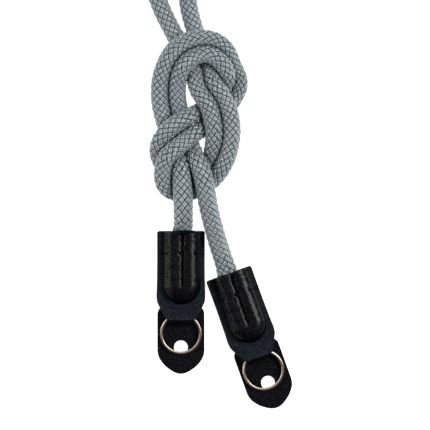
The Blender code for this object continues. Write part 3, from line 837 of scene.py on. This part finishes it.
# %% Laying a grid along the strip
def strip_points(tab):
    """Every vertex of the strip, row by row from the back panel's mouth edge to the front's."""
    share = np.linspace(-1.0, 1.0, STRIP_COLUMNS + 1)
    y, z, half = (np.repeat(column[:, None], len(share), axis=1) for column in back_rows.T)
    back = np.stack([share * half, y, z], axis=2)
    x = share * front_half[:, None]
    y = np.repeat(front_at[:, None], len(share), axis=1)
    front = np.stack([x, y, front_height(x, y, tab)], axis=2)
    return np.vstack([back, front]).reshape(-1, 3)


def leather_strip(tab):
    points = strip_points(tab)
    rows = len(points) // (STRIP_COLUMNS + 1)
    bpy.ops.mesh.primitive_grid_add(x_subdivisions=STRIP_COLUMNS, y_subdivisions=rows - 1, size=1)
    strip = bpy.context.object
    strip.name = f"{tab.name}_tab_leather"
    share = coordinates(strip) * MM + 0.5
    column = np.rint(share[:, 0] * STRIP_COLUMNS).astype(int)
    row = np.rint(share[:, 1] * (rows - 1)).astype(int)
    laid_out = points[row * (STRIP_COLUMNS + 1) + column]
    move_vertices(strip, laid_out)
    mark(strip, "cut_edge", (column == 0) | (column == STRIP_COLUMNS))
    in_front = row >= len(back_rows)
    mark(strip, "pressed", in_front & (beyond_seam(laid_out[:, 0], laid_out[:, 1]) < 0))
    return strip


def thickened(sheet):
    """Gives the sheet its thickness and takes the sharpness off its cut edges."""
    select_only(sheet)
    wall = sheet.modifiers.new("thickness", "SOLIDIFY")
    wall.thickness = LEATHER * MM
    wall.offset = 0.0
    wall.use_even_offset = True
    bpy.ops.object.modifier_apply(modifier=wall.name)
    rounded_edges(sheet, width=0.2, segments=2, sharper_than=62)


print((len(back_rows) + len(front_at)) * (STRIP_COLUMNS + 1), "vertices on a strip")

# %% Scoring the outer face
SCORE, NOTCH = 0.5, 0.65  # depth of the crease near the mouth, and of a tack's bite
SCORE_SPREAD, NOTCH_SPREAD = (0.8, 0.28), 0.5  # right and left of the crease, and along a tack
SCORE_DEEP = (-5.5, 2.0)  # in Y, to beyond the mouth
OUTER_FACE = 0.15  # the outer face lies more than this over the middle surface
# The feet of the flanks, the foot of the U and the fold are painted dark as shade, and their coat
# is made dull.
FLANK_FOOT = (FRONT_RIM + 3.2, FRONT_RIM + 1.8)  # between these heights a flank turns dull
RIM_FLAT = (FRONT_RIM + 0.1, FRONT_RIM + 0.4)  # past the seam, lower leather is the flat rim
SEAM_DARK = 0.8  # how far past the seam the foot of a flank may still be dull
U_FOOT = (U_CENTRE, U_CENTRE - 1.5)  # the leather turns a little dull at the foot of the U
FOLD_DARK, BENT_SHADE = -38.0, 0.9  # from there on it is bent round the ring, and that dull
WRINKLES = (0.6, 1.7, 0.6)  # wrinkles a millimetre; more of them lie across the tab than along it
FAN = 0.8  # how steeply they slant away from the middle


def scored(piece, tab):
    """Cuts the crease and the tacks into the outer face, where the rope leaves no room for a fold.

    It also marks where painted shade and a dull coat go (the crease, tack bites, seam, the feet of
    the flanks and of the U, and the fold), and how its wrinkles fan out over the two lobes.
    """
    at = coordinates(piece)
    x, y, z = at.T
    middle = front_height(x, y, tab)
    outer = (y > FRONT_START + 1) & (z > middle + OUTER_FACE)
    off = off_crease(x, y)
    crease = bump_across(off, np.where(off > 0, *SCORE_SPREAD))
    crease *= fade_between(y, CREASE_TO, CREASE_FROM, 0.2)
    bites = [
        (np.abs(x - tack.x) < tack.bite / 2) * bump_across(y - tack.y, NOTCH_SPREAD)
        for tack in CROSS_TACKS
    ]
    notch = np.maximum.reduce(bites)
    cut = np.maximum(SCORE * crease * fade_between(y, *SCORE_DEEP, 0.3), NOTCH * notch)
    at[:, 2] -= np.where(outer, cut, 0.0)
    move_vertices(piece, at)
    in_u = beyond_seam(x, y) < 0
    past_seam = ramp(middle, *RIM_FLAT) * (np.abs(beyond_seam(x, y)) < SEAM_DARK)
    flank_foot = ramp(middle, *FLANK_FOOT) * np.where(in_u, 1.0, past_seam)
    u_foot = 0.5 * ramp(y, *U_FOOT) * in_u
    # Painted shade: these places, and the fold below, turn nearly black and dull in the finish.
    dull_and_shaded = np.maximum.reduce([crease, notch, flank_foot, u_foot, seam_pull(x, y)])
    bent = BENT_SHADE * fade_between(y, -np.inf, FOLD_DARK, 0.22)
    mark(piece, "dull_and_shaded", np.maximum(np.where(outer, dull_and_shaded, 0.0), bent))
    slanted = y + FAN * np.abs(x - LOBES_MIDDLE)
    mark(piece, "wrinkle", np.column_stack([x, slanted, z]) * WRINKLES)


def into_place(piece, tab):
    """Moves the piece to its tab by its vertices, so that its object stays at the origin."""
    turned = Matrix.Rotation(math.radians(tab.turn_degrees), 4, "Z")
    piece.data.transform(Matrix.Translation((tab.mouth_x * MM, tab.mouth_y * MM, 0.0)) @ turned)
    piece.data.update()
    facing_out(piece)
    return piece


tab_leathers = {}
for tab in TABS:
    strip = leather_strip(tab)
    thickened(strip)
    scored(strip, tab)
    tab_leathers[tab.name] = into_place(strip, tab)
    print(strip.name, len(strip.data.polygons), "faces")

# %% [markdown]
# ## The thread
#
# The U is sewn with black thread. Each stitch is a short bar that dips into the leather at both
# ends. One stitch is modelled from a cylinder, by pulling its ends down, and then copied along the
# U, so that all of them have the same shape, as a machine's stitches do. Three longer ones lie
# across the tab, as tacks.

# %% One stitch
THREAD = 0.26
THREAD_PROUD = 0.35  # the share of the thread's radius that its middle lies over the leather
PINCH, DIP = 0.35, 1.3  # how much thinner a stitch is at its ends, and how far it dips there


def one_stitch(name):
    """A thread bar along X, thinner and lower at its ends."""
    bpy.ops.mesh.primitive_cylinder_add(
        vertices=8, radius=THREAD * MM, depth=STITCH_LENGTH * MM, rotation=(0, math.pi / 2, 0)
    )
    bar = bpy.context.object
    bar.name = name
    bpy.ops.object.transform_apply(location=False, rotation=True, scale=False)
    edit_all(bar, bpy.ops.mesh.subdivide, number_cuts=4)
    at = coordinates(bar)
    to_end = (np.abs(at[:, 0]) / (STITCH_LENGTH / 2)) ** 4
    at[:, 1:] *= 1.0 - PINCH * to_end[:, None]
    at[:, 2] -= THREAD * DIP * to_end
    move_vertices(bar, at)
    return bar


def stitch_places():
    """X, Y, heading and relative length of each stitch, from the U's left top round, then tacks."""
    for i in range(STITCHES):
        s = (i + 0.5) * PITCH
        if s < SEAM_LEGS:
            yield U_ASIDE - STITCH_U, SEAM_TOP - s, -math.pi / 2, 1.0
        elif s < SEAM_LEGS + SEAM_FOOT:
            a = math.pi + (s - SEAM_LEGS) / STITCH_U
            x, y = U_ASIDE + STITCH_U * math.cos(a), U_CENTRE + STITCH_U * math.sin(a)
            yield x, y, a + math.pi / 2, 1.0
        else:
            yield U_ASIDE + STITCH_U, U_CENTRE + s - SEAM_LEGS - SEAM_FOOT, math.pi / 2, 1.0
    for tack in CROSS_TACKS:
        yield tack.x, tack.y, 0.0, tack.length / STITCH_LENGTH


print(len(list(stitch_places())), "stitches and tacks")


# %% Sewing the two tabs
def sewn(tab):
    source = one_stitch(f"{tab.name}_tab_stitches")
    seam = bmesh.new()
    for x, y, turn, longer in stitch_places():
        leather = float(front_height(np.array([x]), np.array([y]), tab)[0])
        z = leather + LEATHER / 2 + THREAD * THREAD_PROUD
        there = Matrix.Translation((x * MM, y * MM, z * MM)) @ Matrix.Rotation(turn, 4, "Z")
        there = there @ Matrix.Diagonal((longer, 1.0, 1.0, 1.0))
        sewn_before = len(seam.verts)
        seam.from_mesh(source.data)
        seam.verts.ensure_lookup_table()
        bmesh.ops.transform(seam, matrix=there, verts=seam.verts[sewn_before:])
    seam.to_mesh(source.data)
    seam.free()
    return into_place(source, tab)


tab_stitches = {tab.name: sewn(tab) for tab in TABS}
print({name: len(piece.data.polygons) for name, piece in tab_stitches.items()})

# %% [markdown]
# ## The ring pads
#
# Under each ring lies a flat pad of matte leather, which keeps the ring from scratching the camera.
# It is cut with a die: straight sides, a pointed tip with bowed flanks, and one round hole. The
# outline is drawn as a flat curve, given its thickness, and its cut edges are rounded.

# %% Outline of the pad
PAD_THICK = 1.2
PAD_HOLE, PAD_HOLE_AT, PAD_HOLE_SIDES = 2.95, -50.0, 48
PAD_HALF = [
    (7.9, -32.4), (8.9, -33.0), (9.6, -33.8), (10.0, -34.8), (10.1, -36.0), (10.1, -51.6),
    (9.85, -53.2), (9.2, -54.9), (8.1, -56.5), (6.8, -58.0), (5.3, -59.2), (3.7, -60.3),
    (2.1, -61.05), (0.8, -61.4),
]
pad_outline = PAD_HALF + [(-x, y) for x, y in reversed(PAD_HALF)]
print(len(pad_outline), "points round the pad")


# %% Cutting the pads
def ring_pad(tab):
    pad = empty_curve(f"{tab.name}_pad_leather", "2D")
    pad.data.fill_mode = "BOTH"
    straight_runs(pad, pad_outline, closed=True)
    angle = 2 * math.pi * np.arange(PAD_HOLE_SIDES) / PAD_HOLE_SIDES
    hole = np.column_stack([PAD_HOLE * np.cos(angle), PAD_HOLE_AT + PAD_HOLE * np.sin(angle)])
    straight_runs(pad, hole, closed=True)
    pad.data.extrude = PAD_THICK / 2 * MM
    bpy.ops.object.convert(target="MESH")
    edit_all(pad, bpy.ops.mesh.remove_doubles, threshold=WELD * MM)
    edit_all(pad, bpy.ops.mesh.dissolve_limited, angle_limit=math.radians(1))
    rounded_edges(pad, width=0.28, segments=3, sharper_than=60)
    pad.data.transform(Matrix.Translation((0, 0, PAD_THICK / 2 * MM)))
    return into_place(pad, tab)


tab_pads = {tab.name: ring_pad(tab) for tab in TABS}
print({name: len(piece.data.polygons) for name, piece in tab_pads.items()})

# %% [markdown]
# ## The split rings
#
# A split ring is a flat wire wound twice round, with a short crank where one turn crosses to the
# other side of the next. It is swept: the wire's section, a small rounded rectangle, follows the
# double turn. Each ring is made on the hinge line inside the leather fold, so it lies on its pad
# and can swing up with its own body.

# %% Sizes of the ring
RING_OUTER, RING_WIRE, RING_TURN, RING_GAP = 8.95, 1.25, 0.6, 0.3
WIRE_MIDDLE = RING_OUTER - RING_WIRE / 2  # radius of the ring at the middle of its wire
WIRE_SHOWN = 1.12  # its edges are rounded, so less of the wire's width catches the light
WIRE_CORNER = 0.297
RING_AT = -44.15
EYE_AT, EYE_HEIGHT = -36.9, 4.4
SPLIT_HALF_ANGLE = 20.0
RING_STEPS = 240


def ring_line():
    """Two flat turns side by side, joined by a short crank where the ring is split."""
    angle = np.linspace(SPLIT_HALF_ANGLE, 720.0 - SPLIT_HALF_ANGLE, RING_STEPS + 1)
    crank = ramp(angle, 360.0 - SPLIT_HALF_ANGLE, 360.0 + SPLIT_HALF_ANGLE)
    lift = (RING_TURN + RING_GAP) * (crank * crank * (3 - 2 * crank) - 0.5)
    turn = np.radians(angle + 90.0)
    return np.column_stack([WIRE_MIDDLE * np.cos(turn), WIRE_MIDDLE * np.sin(turn), lift])


def wire_section():
    """The flattened wire's section, with round edges."""
    section = empty_curve("wire_section", "2D")
    half_wide, half_thick = WIRE_SHOWN / 2 - WIRE_CORNER, RING_TURN / 2 - WIRE_CORNER
    points = []
    for x_side, y_side, start in ((1, 1, 90), (1, -1, 0), (-1, -1, -90), (-1, 1, 180)):
        for turn in np.radians(start - 30 * np.arange(4)):
            x = x_side * half_wide + WIRE_CORNER * math.cos(turn)
            points.append((x, y_side * half_thick + WIRE_CORNER * math.sin(turn)))
    straight_runs(section, points, closed=True)
    return section


print(RING_STEPS + 1, "points along the wire")


# %% Winding the rings
def split_ring(tab, section):
    ring = empty_curve(f"{tab.name}_ring_wire")
    ring.data.twist_mode = "Z_UP"
    ring.data.bevel_mode = "OBJECT"
    ring.data.bevel_object = section
    ring.data.use_fill_caps = True
    straight_runs(ring, ring_line())
    bpy.ops.object.convert(target="MESH")
    edit_all(ring, bpy.ops.mesh.remove_doubles, threshold=WELD / 2 * MM)
    x, y, _ = coordinates(ring).T
    from_axis = np.hypot(x, y)
    mark(ring, "lit_side", (from_axis - WIRE_MIDDLE) / (WIRE_SHOWN / 2) * y / from_axis)
    drop = EYE_HEIGHT - (PAD_THICK + GAP + RING_TURN + RING_GAP / 2)
    tilt = math.asin(drop / (EYE_AT - RING_AT + RING_OUTER))
    at_eye = Matrix.Translation((0, EYE_AT * MM, EYE_HEIGHT * MM)) @ Matrix.Rotation(tilt, 4, "X")
    ring.data.transform(at_eye @ Matrix.Translation((0, (RING_AT - EYE_AT) * MM, 0)))
    return into_place(ring, tab)


wire = wire_section()
tab_rings = {tab.name: split_ring(tab, wire) for tab in TABS}
bpy.data.objects.remove(wire)
print({name: len(piece.data.polygons) for name, piece in tab_rings.items()})

# %% [markdown]
# ## A small language for finishes
#
# Node trees are tedious to write link by link. A wrapped socket that understands plus, minus and
# times lets a finish read like a formula, and one method adds any other node. The scale of a noise
# is in repeats a metre, the distance of a bump in millimetres, and a colour as a screen shows it.


# %% The wrapped socket
class Wire:
    """An output socket in a material, for use in Python expressions."""

    def __init__(self, finish, socket):
        self.finish, self.socket = finish, socket

    def _maths(self, operation, *values):
        settings = {"operation": operation}
        return self.finish.node("ShaderNodeMath", settings, dict(enumerate(values)))

    def __add__(self, other):
        return self._maths("ADD", self, other)

    def __sub__(self, other):
        return self._maths("SUBTRACT", self, other)

    def __rsub__(self, other):
        return self._maths("SUBTRACT", other, self)

    def __mul__(self, other):
        return self._maths("MULTIPLY", self, other)

    def __abs__(self):
        return self._maths("ABSOLUTE", self)

    __radd__, __rmul__ = __add__, __mul__


print("sockets add, subtract and multiply")


# %% A finish
class Finish:
    """A material that is built from expressions."""

    def __init__(self, name, **constants):
        """The constants are the surface's own sockets, with _ for each space in a name."""
        self.material = bpy.data.materials.new(name)
        self.material.use_nodes = True
        self.tree = self.material.node_tree
        self.surface = self.tree.nodes["Principled BSDF"]
        for socket, value in constants.items():
            self.set(socket.replace("_", " "), value)

    def plug(self, socket, value):
        if isinstance(value, Wire):
            self.tree.links.new(value.socket, socket)
        else:
            socket.default_value = value

    def set(self, socket, value):
        self.plug(self.surface.inputs[socket], value)

    def node(self, kind, settings=None, values=None, output=0):
        """Adds a node with its settings, then its sockets' values or links."""
        made = self.tree.nodes.new(kind)
        for key, value in (settings or {}).items():
            setattr(made, key, value)
        for key, value in (values or {}).items():
            self.plug(made.inputs[key], value)
        return Wire(self, made.outputs[output])

    def attribute(self, name, output="Fac"):
        """What was marked on the vertices under this name."""
        return self.node("ShaderNodeAttribute", {"attribute_name": name}, output=output)

    def scaled(self, at, scale):
        return self.node("ShaderNodeMapping", None, {"Vector": at, "Scale": scale})

    def place(self, scale=(1, 1, 1)):
        """The piece's own Object coordinates, scaled."""
        return self.scaled(self.node("ShaderNodeTexCoord", output="Object"), scale)

    def noise(self, at, scale, detail=3.0):
        values = {"Vector": at, "Scale": scale, "Detail": detail}
        return self.node("ShaderNodeTexNoise", None, values)

    def cells(self, at, scale, feature="F1"):
        values = {"Vector": at, "Scale": scale}
        return self.node("ShaderNodeTexVoronoi", {"feature": feature}, values)

    def mix(self, share, first, second):
        """A colour between two colours."""
        values = {0: share, 6: first, 7: second}
        return self.node("ShaderNodeMix", {"data_type": "RGBA"}, values, output=2)

    def clamp(self, value, low, high):
        """value, brought smoothly from low..high to 0..1."""
        settings = {"interpolation_type": "SMOOTHSTEP"}
        values = {"Value": value, "From Min": low, "From Max": high}
        return self.node("ShaderNodeMapRange", settings, values)

    def bump(self, height, distance, strength=1.0):
        values = {"Height": height, "Distance": distance * MM, "Strength": strength}
        self.set("Normal", self.node("ShaderNodeBump", None, values))


def colour(*screen):
    """A colour as a painter reads it off a screen, from 0 to 255, turned into light."""
    share = np.array(screen) / 255
    light = np.where(share <= 0.04045, share / 12.92, ((share + 0.055) / 1.055) ** 2.4)
    return (*light.tolist(), 1.0)


print("mid grey is", round(colour(128, 128, 128)[0], 3))

# %% [markdown]
# ## Finish of the yarns
#
# The yarns are bright nylon filaments in a grey with a little blue-green, and each yarn shows fine
# fibres along its length. Shade is painted into their colour: they are palest on the crest of a
# stitch, darker at the edges of each yarn and where they dive under the next, and darkest where two
# strands touch. An image of a braid could be wrapped round the rope, but the stitches are real
# here, so the finish only has to follow what was marked on them.


# %% Yarn
def yarn_finish():
    yarn = Finish("braided_nylon", Roughness=0.36, Sheen_Weight=0.1, Specular_IOR_Level=0.75)
    uv = yarn.node("ShaderNodeUVMap", {"uv_map": "along_yarn"})
    fibres = yarn.noise(yarn.scaled(uv, (0.6, 22.0, 1.0)), 1.0)
    cloudy = yarn.noise(yarn.place(), 180.0)
    across = yarn.node("ShaderNodeSeparateXYZ", None, {0: uv}, output="Y")
    from_yarn = abs(abs(across - 0.5) - 0.27)  # from the middle of either of the two yarns
    # Painted shade: a yarn darkens where it dives under the next carrier, towards its edges, and in
    # the split between the two yarns of a ribbon.
    unshaded_share = yarn.clamp(yarn.attribute("over"), -0.3, 0.75)
    unshaded_share = unshaded_share * (0.4 + 0.6 * yarn.clamp(from_yarn, 0.25, 0.1))
    pale = yarn.mix(cloudy, colour(166, 177, 182), colour(200, 210, 214))
    pale = yarn.mix(yarn.clamp(fibres, 0.35, 0.7), colour(136, 146, 151), pale)
    pale = yarn.mix(yarn.attribute("tone") * 0.35, pale, colour(146, 152, 155))
    shown = yarn.mix(unshaded_share, colour(46, 57, 64), pale)
    cleft_shade = yarn.attribute("cleft_shade")
    # Painted shade in the cleft where two strands touch.
    painted_cleft_shade = 0.3 * cleft_shade + 0.55 * yarn.clamp(cleft_shade, 0.55, 0.95)
    yarn.set("Base Color", yarn.mix(painted_cleft_shade, shown, colour(24, 31, 37)))
    yarn.set("Roughness", 0.24 + 0.25 * fibres)
    yarn.bump(fibres, 0.05, 0.6)
    return yarn.material


def core_finish():
    dark = Finish("core_shadow", Roughness=0.85)
    shade = dark.noise(dark.place(), 400.0)
    # The core's nearly black colour is painted shade for the gaps between the stitches.
    dark.set("Base Color", dark.mix(shade, colour(20, 27, 32), colour(32, 41, 47)))
    dark.set("Roughness", 0.8 + 0.15 * shade)
    return dark.material


yarn = yarn_finish()
core_dark = core_finish()
print(yarn.name, core_dark.name)

# %% [markdown]
# ## Finish of the leathers, thread and steel
#
# The tabs are smooth calf leather: fine pores, and wrinkles that fan out over the pressed lobes.
# Burnished leather shines where it is plump and stays dull where it is sunken, so its gloss is a
# clear coat whose weight follows the wrinkles, over a base that is nearly black. Shade is painted
# into that base: darker in the wrinkles' grooves, and nearly black in the crease, the seam, the
# tack bites, at the feet of the flanks and of the U, and round the fold. The cut edges are dyed
# black. The pads are the same black without the gloss, with a coarser grain. The rings are
# nickel-plated spring steel. A plain studio has nothing for them to mirror, so the two tones that
# bright steel shows on a table, silver and brown, are laid on by the side that a part of the wire
# turns to the light.


# %% Tab leather
def tab_leather_finish():
    hide = Finish(
        "smooth_black_leather", Roughness=0.5, Specular_IOR_Level=0.02, Coat_Roughness=0.34
    )
    pressed = hide.attribute("pressed")
    # Painted shade in the sunken places, plus the black dye of the cut edges.
    edge_dye_and_shade = hide.clamp(hide.attribute("dull_and_shaded") + hide.attribute("cut_edge"), 0.25, 0.8)
    at = hide.place()
    grain = hide.clamp(hide.cells(at, 1500.0, "DISTANCE_TO_EDGE"), 0.0, 0.12)
    wrinkles = hide.noise(hide.attribute("wrinkle", "Vector"), 1.0, 2.0)
    plump = hide.clamp(wrinkles, 0.4, 0.56)
    speckle = hide.clamp(hide.noise(at, 1150.0, 1.0), 0.35, 0.65)
    flat = hide.mix(speckle, colour(22, 26, 32), colour(41, 46, 54))
    # Painted shade: on the lobes, the wrinkles' grooves are darker than their plump places.
    pressed_with_groove_shade = hide.mix(plump, colour(1, 1, 2), colour(8, 9, 12))
    shade = hide.mix(pressed, hide.mix(grain, colour(12, 13, 16), flat), pressed_with_groove_shade)
    hide.set("Base Color", hide.mix(edge_dye_and_shade, shade, colour(2, 2, 3)))
    hide.set("Coat Weight", (1.0 - edge_dye_and_shade) * (0.06 + 0.32 * pressed * plump))
    hide.set("Roughness", 0.42 + 0.16 * hide.noise(at, 120.0, 2.0))
    hide.bump(0.2 * grain * (1.0 - 0.6 * pressed) + wrinkles * (0.2 + 0.85 * pressed), 0.2)
    return hide.material


def pad_leather_finish():
    hide = Finish("matte_black_leather", Roughness=0.72, Specular_IOR_Level=0.03)
    at = hide.place()
    warp = hide.noise(at, 300.0, 2.0)
    fine_grain = hide.noise(hide.place((1.25, 0.9, 1.0)), 1600.0, 1.0)
    flecks = hide.clamp(fine_grain, 0.4, 0.72)
    hide.set("Base Color", hide.mix(flecks, colour(3, 3, 5), colour(32, 31, 36)))
    hide.set("Roughness", 0.62 + 0.2 * warp)
    hide.bump(0.7 * hide.cells(at, 1150.0) + 0.5 * fine_grain + 0.4 * warp, 0.05, 0.9)
    return hide.material


print("two leathers")


# %% Thread and steel
def thread_finish():
    thread = Finish("black_waxed_thread", Roughness=0.5, Specular_IOR_Level=0.2)
    values = {"Vector": thread.place(), "Scale": 900.0}
    twist = thread.node("ShaderNodeTexWave", {"bands_direction": "DIAGONAL"}, values)
    thread.set("Base Color", thread.mix(twist, colour(5, 5, 7), colour(17, 18, 21)))
    thread.set("Roughness", 0.45 + 0.2 * twist)
    thread.bump(twist, 0.03, 0.7)
    return thread.material


def steel_finish():
    steel = Finish("nickel_plated_steel", Roughness=0.34, Metallic=1.0)
    marks = steel.noise(steel.place((1, 1, 6)), 500.0, 4.0)
    worn = steel.noise(steel.place(), 160.0, 2.0)
    silver = steel.mix(worn, colour(212, 211, 203), colour(190, 182, 172))
    lit = steel.clamp(steel.attribute("lit_side"), -0.2, 0.35)
    steel.set("Base Color", steel.mix(lit, colour(104, 74, 55), silver))
    steel.set("Roughness", 0.4 + 0.06 * marks)
    return steel.material


finishes = {
    "tab": tab_leather_finish(),
    "pad": pad_leather_finish(),
    "thread": thread_finish(),
    "steel": steel_finish(),
}
print(sorted(finishes))


# %% Dressing every piece
def dress(piece, material):
    piece.data.materials.clear()
    piece.data.materials.append(material)


dress(braid_right, yarn)
dress(braid_left, yarn)
dress(core, core_dark)
for tab in TABS:
    dress(tab_leathers[tab.name], finishes["tab"])
    dress(tab_stitches[tab.name], finishes["thread"])
    dress(tab_pads[tab.name], finishes["pad"])
    dress(tab_rings[tab.name], finishes["steel"])
print("dressed", 3 + 4 * len(TABS), "pieces")

# %% [markdown]
# ## What each piece stands for
#
# Every piece rides on a body of the part. The rings ride on their own bodies, which swing in the
# leather folds, and all else rides on the strap. The plain solids are then hidden.

# %% Riding and replacing
for piece in (core, braid_right, braid_left):
    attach(piece, "strap")
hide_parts("rope")
for tab in TABS:
    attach(tab_leathers[tab.name], "strap")
    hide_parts(f"{tab.name}_leather_tab")
    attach(tab_stitches[tab.name], "strap")
    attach(tab_pads[tab.name], "strap")
    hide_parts(f"{tab.name}_ring_pad")
    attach(tab_rings[tab.name], f"{tab.name}_ring")
    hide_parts(f"{tab.name}_split_ring")
[tuple(point[:3] * MM) for point in core_points]

# %% [markdown]
# ## Table and light
#
# A catalogue picture is often taken on a white acrylic table that is lit from below as well, so
# that the ground is pure white even between the strands. A bright panel stands high on the right:
# the yarns that lean one way glint in it, and so does the right flank of each leather lobe. A
# broad, weaker one stands low on the left. Flat leather mirrors only the dim room over the camera.

# %% Table
WHITE = (1.0, 1.0, 1.0, 1.0)
bpy.ops.mesh.primitive_plane_add(size=4.0, location=(0, 0, 0))
table = bpy.context.object
table.name = "table"
paper = Finish("white_table", Roughness=0.9, Emission_Color=WHITE, Emission_Strength=0.9)
paper.set("Base Color", (0.9, 0.9, 0.9, 1.0))
dress(table, paper.material)
print("table", table.dimensions[:2])

# %% Lights
AIM = Vector((0.0, 0.05, 0.0))


def soft_panel(name, place, size, power):
    """A square lamp, in metres and watts, that looks at the knot."""
    data = bpy.data.lights.new(name, "AREA")
    data.shape, data.size, data.energy = "SQUARE", size, power
    lamp = bpy.data.objects.new(name, data)
    lamp.location = place
    lamp.rotation_euler = (AIM - Vector(place)).to_track_quat("-Z", "Y").to_euler()
    bpy.context.scene.collection.objects.link(lamp)


soft_panel("key_panel", (0.76, 0.3, 1.15), 0.55, 18.2)
soft_panel("left_panel", (-1.15, 0.05, 0.75), 0.9, 8.5)

world = bpy.data.worlds.new("studio")
world.use_nodes = True
background = world.node_tree.nodes["Background"]
background.inputs["Color"].default_value = WHITE
background.inputs["Strength"].default_value = 0.2
bpy.context.scene.world = world
bpy.context.scene.view_settings.view_transform = "Standard"
print("lights set")
